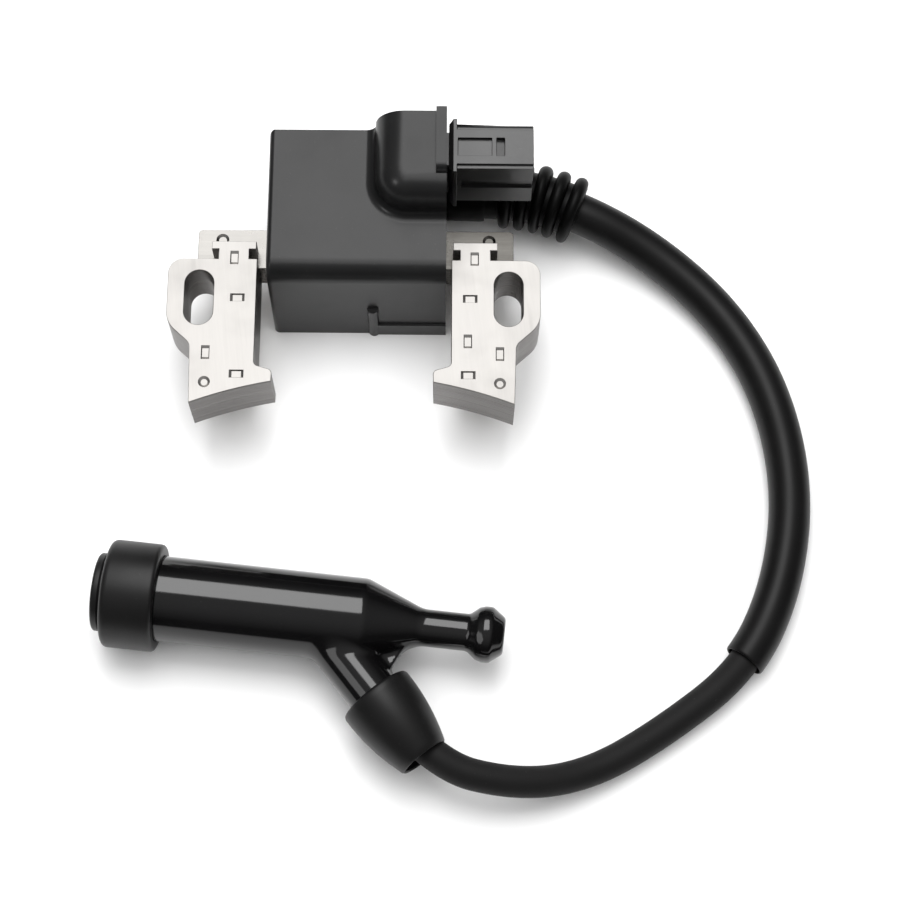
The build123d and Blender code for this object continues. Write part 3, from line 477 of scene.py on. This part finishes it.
def lead_line():
    """Points down the middle of the lead, read from its spline."""
    bare = lead_curve("lead_line", 0.0)
    mesh = bpy.data.meshes.new_from_object(bare)
    points = [vertex.co.copy() for vertex in mesh.vertices]
    bpy.data.meshes.remove(mesh)
    bpy.data.curves.remove(bare.data)
    return points


class Path:
    """A line in space with a frame that doesn't twist, read by distance along it."""

    def __init__(self, points):
        self.points = points
        self.at = [0.0]
        for before, after in zip(points, points[1:]):
            self.at.append(self.at[-1] + (after - before).length)
        tangents = [(points[1] - points[0]).normalized()]
        for before, after in zip(points, points[2:]):
            tangents.append((after - before).normalized())
        tangents.append((points[-1] - points[-2]).normalized())
        side = tangents[0].cross(Vector((0, 0, 1))).normalized()
        sides = [side]
        for before, after in zip(tangents, tangents[1:]):
            side = before.rotation_difference(after) @ side
            sides.append((side - after * side.dot(after)).normalized())
        self.tangents, self.sides = tangents, sides

    def frame(self, distance):
        index = 0
        while index < len(self.at) - 2 and self.at[index + 1] < distance:
            index += 1
        share = (distance - self.at[index]) / (self.at[index + 1] - self.at[index])
        near = min(1.0, max(0.0, share))
        middle = self.points[index].lerp(self.points[index + 1], share)
        tangent = self.tangents[index].lerp(self.tangents[index + 1], near).normalized()
        side = self.sides[index].lerp(self.sides[index + 1], near).normalized()
        return middle, tangent, side, tangent.cross(side)


def turned_along(path, profile, steps, name="turned"):
    """A ring or tube whose section (distance, radius) follows the path; radius 0 closes it."""
    shape = bmesh.new()
    rings = []
    for distance, radius in profile:
        middle, _, side, above = path.frame(distance)
        if radius < 1e-7:
            rings.append([shape.verts.new(middle)])
            continue
        ring = []
        for step in range(steps):
            angle = 2 * math.pi * step / steps
            offset = side * (math.cos(angle) * radius) + above * (math.sin(angle) * radius)
            ring.append(shape.verts.new(middle + offset))
        rings.append(ring)
    for near, far in zip(rings, rings[1:] + rings[:1]):
        for step in range(steps):
            after = (step + 1) % steps
            if len(near) == 1 and len(far) == 1:
                break
            if len(near) == 1:
                shape.faces.new((near[0], far[step], far[after]))
            elif len(far) == 1:
                shape.faces.new((near[step], far[0], near[after]))
            else:
                shape.faces.new((near[step], far[step], far[after], near[after]))
    bmesh.ops.recalc_face_normals(shape, faces=shape.faces[:])
    return to_mesh(shape, name, TURNED_CREASE)


def rounded(points, steps=6):
    """An (along, radius) outline with its corners rounded: each point is (a, r, corner radius)."""
    outline = []
    count = len(points)
    for index, (a, r, corner) in enumerate(points):
        here = Vector((a, r))
        if corner <= 0:
            outline.append((a, r))
            continue
        before = Vector(points[index - 1][:2]) - here
        after = Vector(points[(index + 1) % count][:2]) - here
        angle = before.angle(after)
        reach = min(corner / math.tan(angle / 2), 0.49 * before.length, 0.49 * after.length)
        start = here + before.normalized() * reach
        end = here + after.normalized() * reach
        for step in range(steps + 1):
            share = step / steps
            first = start.lerp(here, share)
            second = here.lerp(end, share)
            point = first.lerp(second, share)
            outline.append((point.x, point.y))
    return outline


# ---------------------------------------------------------------- lead, sleeve and bellows boot
lead = lead_curve("ht_lead", LEAD_DIAMETER / 2)
bpy.context.scene.collection.objects.link(lead)
lead.data.materials.append(LEAD)
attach(lead, "coil")
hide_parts("ht_lead_insulation")

lead_path = Path(lead_line())
CASE_WALL_X = 0.0208

SLEEVE_START = 0.012
SLEEVE_END = 0.164
SLEEVE_OUTSIDE = 0.00475
SLEEVE_BORE = 0.00405
SLEEVE_STEPS = 90


def sleeve_outline():
    """A long straight wall, with its open end rounded over."""
    span = SLEEVE_END - 0.0006 - SLEEVE_START
    along = [SLEEVE_START + span * step / SLEEVE_STEPS for step in range(SLEEVE_STEPS + 1)]
    outline = [(distance, SLEEVE_OUTSIDE) for distance in along]
    outline += [(SLEEVE_END - 0.0002, 0.00469), (SLEEVE_END, 0.0045)]
    outline += [(SLEEVE_END, 0.0043), (SLEEVE_END - 0.0002, 0.00409)]
    return outline + [(distance, SLEEVE_BORE) for distance in reversed(along)]


sleeve = new_piece(
    "lead_sleeve_tube",
    turned_along(lead_path, sleeve_outline(), 40, "lead_sleeve_tube"),
    SLEEVE, "coil",
)
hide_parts("lead_sleeve")

BASE_START = CASE_WALL_X - LEAD_ROUTE[0][0]
BASE_END = BASE_START + 0.0123
RING_FIRST = 0.0156
RING_PITCH = 0.004
RING_COUNT = 5
BELLOWS_OUTSIDE = 0.0060
BELLOWS_BORE = 0.00486
BELLOWS_END = RING_FIRST + RING_PITCH * (RING_COUNT - 1) + 0.0015


def bellows_outline():
    """A plain socket at the case, five rings, and a bore that clears the sleeve."""
    outline = rounded([(BASE_START, 0.0052, 0), (BASE_START, 0.007, 0.0004), (BASE_END, 0.007, 0.0012)])
    outline += [(BASE_END, 0.0061)]
    for index in range(RING_COUNT):
        middle = RING_FIRST + RING_PITCH * index
        outline.append((middle - 0.00185, BELLOWS_OUTSIDE))
        outline.append((middle - 0.00155, 0.00605))
        for step in range(11):
            angle = math.pi * (1 - step / 10)
            lift = 0.00065 + 0.0015 * math.sin(angle)
            outline.append((middle + 0.00145 * math.cos(angle), BELLOWS_OUTSIDE + lift))
        outline.append((middle + 0.00155, 0.00605))
    outline += [(BELLOWS_END + 0.0001, BELLOWS_OUTSIDE), (BELLOWS_END + 0.0001, BELLOWS_BORE)]
    outline += [(SLEEVE_START - 0.001, BELLOWS_BORE), (SLEEVE_START - 0.001, 0.0052)]
    return outline


bellows = new_piece(
    "lead_bellows",
    turned_along(lead_path, bellows_outline(), 56, "lead_bellows"),
    BOOT, "coil",
)
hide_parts("lead_bellows_boot")


# ---------------------------------------------------------------- lamination stacks
SHEET = 0.0005
SHEET_GAP = 0.00003
SHEET_RIM = 0.00005
TOP_RIM = 0.00012
MISFIT = 0.000025
DIMPLE_DEPTH = 0.0003
MARK_SIDE_SLOPE = 0.00022
MARK_END_SLOPE = 0.0006
MARK_EXTRA_DEPTH = 0.0001


def make_stack_tree():
    """Geometry nodes: one sheet repeated up the stack, each laid down a hair out of line."""
    tree = bpy.data.node_groups.new("sheet_stack", "GeometryNodeTree")
    new = tree.interface.new_socket
    new("Sheet", in_out="INPUT", socket_type="NodeSocketGeometry")
    new("Sheets", in_out="INPUT", socket_type="NodeSocketInt")
    new("Pitch", in_out="INPUT", socket_type="NodeSocketFloat")
    new("Misfit", in_out="INPUT", socket_type="NodeSocketFloat")
    new("Seed", in_out="INPUT", socket_type="NodeSocketInt")
    new("Finish", in_out="INPUT", socket_type="NodeSocketMaterial")
    new("Stack", in_out="OUTPUT", socket_type="NodeSocketGeometry")
    given = tree.nodes.new("NodeGroupInput")
    result = tree.nodes.new("NodeGroupOutput")
    rise = tree.nodes.new("ShaderNodeCombineXYZ")
    line = tree.nodes.new("GeometryNodeMeshLine")
    line.mode = "OFFSET"
    repeat = tree.nodes.new("GeometryNodeInstanceOnPoints")
    chance = tree.nodes.new("FunctionNodeRandomValue")
    chance.data_type = "FLOAT_VECTOR"
    shift = tree.nodes.new("ShaderNodeVectorMath")
    shift.operation = "SCALE"
    move = tree.nodes.new("GeometryNodeSetPosition")
    real = tree.nodes.new("GeometryNodeRealizeInstances")
    paint = tree.nodes.new("GeometryNodeSetMaterial")
    chance.inputs["Min"].default_value = (-1, -1, 0)
    chance.inputs["Max"].default_value = (1, 1, 0)
    link = tree.links.new
    link(given.outputs["Pitch"], rise.inputs["Z"])
    link(given.outputs["Sheets"], line.inputs["Count"])
    link(rise.outputs["Vector"], line.inputs["Offset"])
    link(given.outputs["Seed"], chance.inputs["Seed"])
    link(chance.outputs["Value"], shift.inputs[0])
    link(given.outputs["Misfit"], shift.inputs["Scale"])
    link(line.outputs["Mesh"], move.inputs["Geometry"])
    link(shift.outputs["Vector"], move.inputs["Offset"])
    link(move.outputs["Geometry"], repeat.inputs["Points"])
    link(given.outputs["Sheet"], repeat.inputs["Instance"])
    link(repeat.outputs["Instances"], real.inputs["Geometry"])
    link(real.outputs["Geometry"], paint.inputs["Geometry"])
    link(given.outputs["Finish"], paint.inputs["Material"])
    link(paint.outputs["Geometry"], result.inputs["Stack"])
    return tree


STACK_TREE = make_stack_tree()


def made_mesh(host):
    """The mesh that an object's modifiers give; the object itself is then removed."""
    bpy.context.view_layer.update()
    made = bpy.data.meshes.new_from_object(host.evaluated_get(bpy.context.evaluated_depsgraph_get()))
    bpy.data.objects.remove(host)
    return made


def evaluated(name, mesh, tree, **values):
    """The plain mesh that a geometry tree makes from a mesh; its inputs are set by identifier."""
    host = bpy.data.objects.new(name, mesh)
    bpy.context.scene.collection.objects.link(host)
    modifier = host.modifiers.new(name, "NODES")
    modifier.node_group = tree
    items = [item for item in tree.interface.items_tree if item.in_out == "INPUT"]
    sockets = {item.name: item.identifier for item in items}
    for key, value in values.items():
        modifier[sockets[key.replace("_", " ")]] = value
    made = made_mesh(host)
    made.name = name
    return made


def break_rims(shape, width):
    """Takes the sharpness off the edges between a sheet's flat faces and its cut sides."""
    shape.normal_update()
    rims = []
    for edge in shape.edges:
        steep = sorted(abs(face.normal.z) for face in edge.link_faces)
        if len(steep) == 2 and steep[0] < 0.1 and steep[1] > 0.9:
            rims.append(edge)
    bmesh.ops.bevel(shape, geom=rims, offset=width, segments=1, affect="EDGES", profile=0.5)


def sheet_blank(node, height):
    """One punched sheet, cut from the node's flat face at that height."""
    shape = node_shape(node)
    away = [f for f in shape.faces if any(abs(v.co.z - height) > 1e-6 for v in f.verts)]
    bmesh.ops.delete(shape, geom=away, context="FACES")
    raised = bmesh.ops.extrude_face_region(shape, geom=shape.faces[:])
    corners = [item for item in raised["geom"] if isinstance(item, bmesh.types.BMVert)]
    bmesh.ops.translate(shape, vec=(0, 0, SHEET - SHEET_GAP), verts=corners)
    bmesh.ops.recalc_face_normals(shape, faces=shape.faces[:])
    break_rims(shape, SHEET_RIM)
    return shape


def slope_marks(shape, floor):
    """Draws each mark's floor in from its rim and deepens it, as the press leaves it."""
    left = {vertex for vertex in shape.verts if abs(vertex.co.z - floor) < 1e-6}
    while left:
        island, waiting = [], [left.pop()]
        while waiting:
            vertex = waiting.pop()
            island.append(vertex)
            for edge in vertex.link_edges:
                other = edge.other_vert(vertex)
                if other in left:
                    left.remove(other)
                    waiting.append(other)
        low = [min(vertex.co[axis] for vertex in island) for axis in (0, 1)]
        high = [max(vertex.co[axis] for vertex in island) for axis in (0, 1)]
        size = [end - start for start, end in zip(low, high)]
        for vertex in island:
            vertex.co.z -= MARK_EXTRA_DEPTH
            for axis in (0, 1):
                draw = MARK_SIDE_SLOPE if size[axis] < 0.8 * max(size) else MARK_END_SLOPE
                middle = (low[axis] + high[axis]) / 2
                vertex.co[axis] = middle + (vertex.co[axis] - middle) * (1 - 2 * draw / size[axis])


def pressed_top(node):
    """The top sheet with its pressed marks, from the node's own upper faces."""
    shape = node_shape(node)
    top = max(vertex.co.z for vertex in shape.verts)
    floor = top - DIMPLE_DEPTH - 1e-5
    away = [f for f in shape.faces if any(v.co.z < floor for v in f.verts)]
    bmesh.ops.delete(shape, geom=away, context="FACES")
    slope_marks(shape, top - DIMPLE_DEPTH)
    rim = [e for e in shape.edges if e.is_boundary]
    lowered = bmesh.ops.extrude_edge_only(shape, edges=rim)
    corners = [item for item in lowered["geom"] if isinstance(item, bmesh.types.BMVert)]
    bmesh.ops.translate(shape, vec=(0, 0, SHEET_GAP - SHEET), verts=corners)
    edges = [item for item in lowered["geom"] if isinstance(item, bmesh.types.BMEdge)]
    foot = [edge for edge in edges if edge.is_boundary]
    bmesh.ops.triangle_fill(shape, use_beauty=True, edges=foot)
    bmesh.ops.recalc_face_normals(shape, faces=shape.faces[:])
    break_rims(shape, TOP_RIM)
    return shape


def lamination_stack(node, name, sheets, seed, finish):
    """All sheets of one pack: plain ones by geometry nodes, and the pressed one on top, if any."""
    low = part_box(node)[0]
    blank = to_mesh(sheet_blank(node, low.z), name + "_sheet", SHEET_CREASE)
    pack = evaluated(
        name, blank, STACK_TREE, Sheets=sheets, Pitch=SHEET, Misfit=MISFIT, Seed=seed, Finish=finish
    )
    if "lower" not in node:
        joined = bmesh.new()
        joined.from_mesh(pack)
        joined.from_mesh(to_mesh(pressed_top(node), name + "_top", PRESSED_CREASE))
        pack = to_mesh(joined, name, PRESSED_CREASE)
        pack.materials.append(finish)
    piece = new_piece(name, pack, finish, "coil")
    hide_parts(node)
    return piece


lamination_packs = []
for side, seed in (("left", 3), ("right", 5)):
    for level, sheets, extra in (("upper", 10, 0), ("lower", 17, 9)):
        name = f"{side}_leg_{level}"
        lamination_packs.append(
            lamination_stack(
                name + "_laminations", name + "_sheets", sheets, seed + extra, LAMINATION
            )
        )
lamination_packs.append(
    lamination_stack("core_bar_laminations", "core_bar_sheets", 16, 21, CORE)
)


# ---------------------------------------------------------------- case and connector
POCKET_DEPTH = 0.0013
POCKET_NEAR_RISE = 0.0007
POCKET_FAR_DROP = 0.0004

case = edged_copy("coil_case", "case_moulding", CASE, "coil", 0.00022)
connector = edged_copy(
    "connector_shell", "connector_moulding", CONNECTOR, "coil", 0.00016
)


def ramp_latch_pocket(mesh):
    """The pocket's floor falls away from the latch ridge, so that the catch can slide in."""
    top = max(vertex.co.z for vertex in mesh.vertices)
    floor = [v for v in mesh.vertices if abs(v.co.z - top + POCKET_DEPTH) < 2e-5]
    near, far = min(v.co.x for v in floor), max(v.co.x for v in floor)
    for vertex in floor:
        share = (vertex.co.x - near) / (far - near)
        vertex.co.z += POCKET_NEAR_RISE * (1 - share) - POCKET_FAR_DROP * share


ramp_latch_pocket(connector.data)
blades = edged_copy(
    "connector_blades", "connector_blade_pair", TIN, "coil", 0.00008, segments=1
)


# ---------------------------------------------------------------- plug cap
BRANCH_ANGLE = math.radians(45.6)
BRANCH_LEAD_END = 0.022


def cap_axes():
    """Where the cap's own axes cross, its plug axis, its branch axis and its upright one."""
    before = Vector(LEAD_ROUTE[-2])
    end = Vector(LEAD_ROUTE[-1])
    outward = (before - end).normalized()
    centre = end - outward * BRANCH_LEAD_END
    along = Matrix.Rotation(BRANCH_ANGLE, 3, "Z") @ outward
    return centre, along, outward


cap_centre, cap_along, cap_branch = cap_axes()
cap_turn = math.atan2(cap_along.y, cap_along.x)
CAP_PLACE = Matrix.Translation(cap_centre) @ Matrix.Rotation(cap_turn, 4, "Z")


def straight(direction, low=-0.08, high=0.08):
    """A straight path through the cap's centre, read from there: distance 0 is the centre."""
    path = Path([cap_centre + direction * low, cap_centre + direction * high])
    path.at = [low, high]
    return path


plug_axis = straight(cap_along)
branch_axis = straight(cap_branch)

BODY_RADIUS = 0.0095
MOUTH = -0.0445
BRANCH_RADIUS = 0.0059
BRANCH_END = 0.0324
PLUG_BORE = 0.0075
PLUG_BORE_END = -0.0225
LEAD_BORE = 0.0043
LEAD_BORE_END = 0.0185
WEB_HALF_THICK = 0.0013
CAP_GRID = 0.00042

body_outline = rounded(
    [
        (MOUTH, BODY_RADIUS, 0.0005), (0.0115, BODY_RADIUS, 0.004), (0.0242, 0.00415, 0.006),
        (0.0346, 0.00415, 0.0016), (0.0366, 0.0058, 0.0006), (0.038, 0.00625, 0.0008),
        (0.0396, 0.00625, 0.0012), (0.0426, 0.004, 0.0012), (0.0426, 0, 0),
        (PLUG_BORE_END, 0, 0), (PLUG_BORE_END, PLUG_BORE, 0.0005), (MOUTH, PLUG_BORE, 0.0003),
    ]
)
branch_outline = rounded(
    [
        (-0.001, 0, 0), (-0.001, BRANCH_RADIUS, 0), (BRANCH_END, BRANCH_RADIUS, 0.0006),
        (BRANCH_END, LEAD_BORE, 0.0003), (LEAD_BORE_END, LEAD_BORE, 0), (LEAD_BORE_END, 0, 0),
    ]
)


def outline_distance(along, radius, outline):
    """Signed distance from points (along, radius) to a closed outline; negative is inside."""
    points = np.array(outline)
    after = np.roll(points, -1, axis=0)
    best = np.full(len(along), np.inf)
    inside = np.zeros(len(along), bool)
    for (ax, ay), (bx, by) in zip(points, after):
        on_axis = ay < 1e-7 and by < 1e-7
        ex, ey = bx - ax, by - ay
        length = ex * ex + ey * ey
        if not on_axis and length > 0:
            share = np.clip(((along - ax) * ex + (radius - ay) * ey) / length, 0, 1)
            gap = (along - ax - share * ex) ** 2 + (radius - ay - share * ey) ** 2
            best = np.minimum(best, gap)
        crosses = (ay > radius) != (by > radius)
        if by != ay:
            inside ^= crosses & (along < (bx - ax) * (radius - ay) / (by - ay) + ax)
    return np.sqrt(best) * np.where(inside, -1, 1)


def blend_solids(first, second, width):
    """The union of two distances with a fillet between them."""
    near = np.maximum(width - np.abs(first - second), 0) / width
    return np.minimum(first, second) - near * near * width / 4


def web_distance(points):
    """Signed distance to the thin web between the branch and the cone."""
    corners = [(0.010, 0.0), (0.0215, -0.0035), (0.0178, -0.0115), (0.008, -0.010)]
    plan = outline_distance(points[:, 0], points[:, 1] + 0.05, [(x, y + 0.05) for x, y in corners])
    thick = np.abs(points[:, 2]) - WEB_HALF_THICK
    outside = np.sqrt(np.maximum(plan, 0) ** 2 + np.maximum(thick, 0) ** 2)
    return outside + np.minimum(np.maximum(plan, thick), 0) - 0.0002


def hole(radius, start, end):
    """The outline of a round hole about an axis."""
    return [(start, 0), (start, radius), (end, radius), (end, 0)]


def cap_distance(points):
    """Signed distance to the cap's moulding, in its own axes."""
    radius = np.hypot(points[:, 1], points[:, 2])
    body = outline_distance(points[:, 0], radius, body_outline)
    cosine, sine = math.cos(BRANCH_ANGLE), math.sin(BRANCH_ANGLE)
    out = points[:, 0] * cosine - points[:, 1] * sine
    across = points[:, 0] * sine + points[:, 1] * cosine
    off = np.hypot(across, points[:, 2])
    branch = outline_distance(out, off, branch_outline)
    joined = blend_solids(body, branch, 0.0016)
    joined = blend_solids(joined, web_distance(points), 0.0012)
    bore = outline_distance(points[:, 0], radius, hole(PLUG_BORE, -0.06, PLUG_BORE_END))
    lead_bore = outline_distance(out, off, hole(LEAD_BORE, LEAD_BORE_END, 0.06))
    return np.maximum(np.maximum(joined, -bore), -lead_bore)


def cap_moulding():
    """The cap in one piece: a coarse skin from its turned parts, drawn onto the exact form."""
    rough = bmesh.new()
    back = CAP_PLACE.inverted()
    for path, outline in ((plug_axis, body_outline), (branch_axis, branch_outline)):
        part = turned_along(path, outline, 48)
        part.transform(back)
        rough.from_mesh(part)
    web = [(0.010, -0.001), (0.0215, -0.0035), (0.0178, -0.0115), (0.008, -0.010)]
    lower = [rough.verts.new((x, y, -0.0015)) for x, y in web]
    upper = [rough.verts.new((x, y, 0.0015)) for x, y in web]
    faces = [rough.faces.new(lower), rough.faces.new(list(reversed(upper)))]
    for step in range(4):
        after = (step + 1) % 4
        faces.append(rough.faces.new((lower[step], upper[step], upper[after], lower[after])))
    bmesh.ops.recalc_face_normals(rough, faces=rough.faces[:])
    host = bpy.data.objects.new("cap_skin", to_mesh(rough, "cap_skin"))
    bpy.context.scene.collection.objects.link(host)
    remesh = host.modifiers.new("skin", "REMESH")
    remesh.mode = "VOXEL"
    remesh.voxel_size = CAP_GRID
    skin = made_mesh(host)
    places = np.zeros(len(skin.vertices) * 3)
    skin.vertices.foreach_get("co", places)
    places = places.reshape(-1, 3)
    step = 1e-5
    for _ in range(5):
        value = cap_distance(places)
        shifts = np.eye(3) * step
        rises = [cap_distance(places + shift) - cap_distance(places - shift) for shift in shifts]
        slope = np.stack([rise / (2 * step) for rise in rises], axis=1)
        steepness = np.maximum((slope * slope).sum(1), 0.2)
        move = slope * (value / steepness)[:, None]
        places -= np.clip(move, -0.0004, 0.0004)
    skin.vertices.foreach_set("co", places.ravel())
    skin.update()
    skin.transform(CAP_PLACE)
    skin.shade_smooth()
    return skin


cap_body = new_piece("cap_moulding", cap_moulding(), GLOSSY, "plug_cap")
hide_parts("cap_body")

SEAL_START = -0.046
SEAL_END = SEAL_START + 0.0118
SEAL_RADIUS = 0.012
LIP_BORE = 0.007
seal_outline = rounded(
    [
        (SEAL_END, 0.0096, 0.0002), (SEAL_END, SEAL_RADIUS, 0.0014), (SEAL_START, SEAL_RADIUS, 0.0016),
        (SEAL_START, 0.0086, 0.0003), (SEAL_START - 0.0005, 0.0083, 0.0003),
        (SEAL_START - 0.0009, 0.0087, 0.0003), (SEAL_START - 0.0024, 0.0087, 0.0013),
        (SEAL_START - 0.0024, LIP_BORE, 0.0004), (SEAL_START + 0.0015, LIP_BORE, 0.0002),
        (SEAL_START + 0.0015, 0.0096, 0.0002),
    ]
)
seal = new_piece(
    "cap_seal", turned_along(plug_axis, seal_outline, 72, "cap_seal"), SEAL, "plug_cap"
)
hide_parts("cap_skirt_seal")


HOOD_START = 0.0225
HOOD_END = 0.0402
HOOD_TOP = 0.0085
HOOD_MOUTH = 0.00585
HOOD_BORE = 0.00596
HOOD_SWELL = 0.00075


def hood_outline():
    """The hood over the branch's end: a swelling cone with a turned-in mouth."""
    start, end = HOOD_START, HOOD_END
    outline = [(start, HOOD_BORE), (start, HOOD_TOP - 0.0007)]
    outline += [(start + 0.0002, HOOD_TOP - 0.00025), (start + 0.0007, HOOD_TOP)]
    for step in range(1, 15):
        share = step / 14
        radius = HOOD_TOP + (HOOD_MOUTH - HOOD_TOP) * share + HOOD_SWELL * 4 * share * (1 - share)
        outline.append((start + 0.0007 + (end - start - 0.0010) * share, radius))
    outline += [(end, HOOD_MOUTH - 0.0003), (end, 0.0053), (end - 0.0003, 0.0051), (0.0326, HOOD_BORE)]
    return outline


hood = new_piece(
    "cap_hood", turned_along(branch_axis, hood_outline(), 64, "cap_hood"), SEAL, "plug_cap"
)
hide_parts("cap_entry_boot")


# ---------------------------------------------------------------- nodes that keep their CAD shape
KEPT = {
    "potting_fill": RESIN, "primary_bobbin": BOBBIN, "primary_winding": COPPER, "secondary_bobbin": BOBBIN,
    "secondary_winding": COPPER, "igniter_board": BOARD, "power_transistor": PACKAGE,
    "storage_capacitor": FILM, "trigger_resistors": CERAMIC, "ht_terminal": BRASS, "ht_lead_core": COPPER,
    "cap_plug_socket": BRASS, "cap_clip_ring": SPRING, "cap_contact_spring": SPRING,
    "cap_resistor": CERAMIC, "cap_lead_screw": BRASS,
}
for node, material in KEPT.items():
    mesh_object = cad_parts[node]
    for slot in mesh_object.material_slots:
        slot.material = material
    if not mesh_object.material_slots:
        mesh_object.data.materials.append(material)

IN_THE_CAP = ["cap_plug_socket", "cap_clip_ring", "cap_contact_spring", "cap_resistor", "cap_lead_screw"]
on_the_lead = [sleeve, bellows, cap_body, seal, hood]
on_the_lead += [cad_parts[name] for name in ["ht_lead_core", *IN_THE_CAP]]


# ---------------------------------------------------------------- bench and light
def make_bench():
    shape = bmesh.new()
    corners = [(-4, -4), (4, -4), (4, 4), (-4, 4)]
    shape.faces.new([shape.verts.new((x, y, 0)) for x, y in corners])
    bench = bpy.data.objects.new("bench", to_mesh(shape, "bench"))
    bpy.context.scene.collection.objects.link(bench)
    material, tree, shader = begin_material("pale_bench", Roughness=0.75, Specular_IOR_Level=0.2)
    marks = place_group(tree, GRAIN, Cloud_Scale=3.0)
    tone = two_tones(tree, marks.outputs["Cloud"], (0.86, 0.86, 0.86), (0.88, 0.88, 0.88))
    tree.links.new(tone, shader.inputs["Base Color"])
    bench.data.materials.append(material)
    return bench


def soft_light(name, place, target, size, power, lights=None, leaves_out=None):
    """A rectangular softbox that lights every piece, only some, or all but some."""
    data = bpy.data.lights.new(name, "AREA")
    data.shape = "RECTANGLE"
    data.size, data.size_y = size
    data.energy = power
    light = bpy.data.objects.new(name, data)
    bpy.context.scene.collection.objects.link(light)
    light.location = place
    light.rotation_mode = "QUATERNION"
    light.rotation_quaternion = (Vector(target) - Vector(place)).to_track_quat("-Z", "Y")
    light.visible_camera = False
    if lights or leaves_out:
        receivers = bpy.data.collections.new(name + "_receivers")
        for piece in lights or leaves_out:
            receivers.objects.link(piece)
        for entry in receivers.collection_objects:
            entry.light_linking.link_state = "INCLUDE" if lights else "EXCLUDE"
        light.light_linking.receiver_collection = receivers
    return light


def make_studio_air():
    """Soft air light, brighter from above than from the sides, and a pale backdrop."""
    world = bpy.data.worlds.new("studio_air")
    bpy.context.scene.world = world
    world.use_nodes = True
    tree = world.node_tree
    tree.nodes.clear()
    direction = tree.nodes.new("ShaderNodeTexCoord")
    axes = tree.nodes.new("ShaderNodeSeparateXYZ")
    tree.links.new(direction.outputs["Generated"], axes.inputs["Vector"])
    rise = spread_range(tree, axes.outputs["Z"], 0.35, 0.95, 0.05, 0.55)
    seen = tree.nodes.new("ShaderNodeLightPath").outputs["Is Camera Ray"]
    strength = mix_values(tree, "MAXIMUM", rise, mix_values(tree, "MULTIPLY", seen, 0.95))
    air = tree.nodes.new("ShaderNodeBackground")
    tree.links.new(strength, air.inputs["Strength"])
    output = tree.nodes.new("ShaderNodeOutputWorld")
    tree.links.new(air.outputs["Background"], output.inputs["Surface"])


bpy.context.scene.view_settings.view_transform = "Standard"
bench = make_bench()
make_studio_air()
steel = [*lamination_packs, blades]
soft_light(
    "overhead", (-0.03, 0.447, 0.9), (-0.03, 0.447, 0), size=(0.46, 0.886), power=7.4, leaves_out=steel
)
soft_light(
    "left_card", (-0.75, -0.45, 0.75), (0, -0.06, 0), size=(0.9, 0.6), power=3.4, lights=[cap_body]
)
soft_light(
    "left_front", (-0.75, -0.45, 0.75), (0, -0.02, 0), size=(0.15, 0.15), power=1.5, lights=[case]
)
soft_light(
    "case_front_fill", (-0.03, -0.17, 0.9), (-0.03, -0.17, 0), size=(0.46, 0.36), power=1.7, lights=[case]
)
soft_light(
    "steel_overhead", (-0.1, 0.35, 0.9), (-0.1, 0.35, 0), size=(1.2, 1.1), power=4.1, lights=steel
)
soft_light("bench_fill", (0.0, 0.1, 1.2), (0.0, 0.0, 0), size=(1.6, 1.6), power=18, lights=[bench])
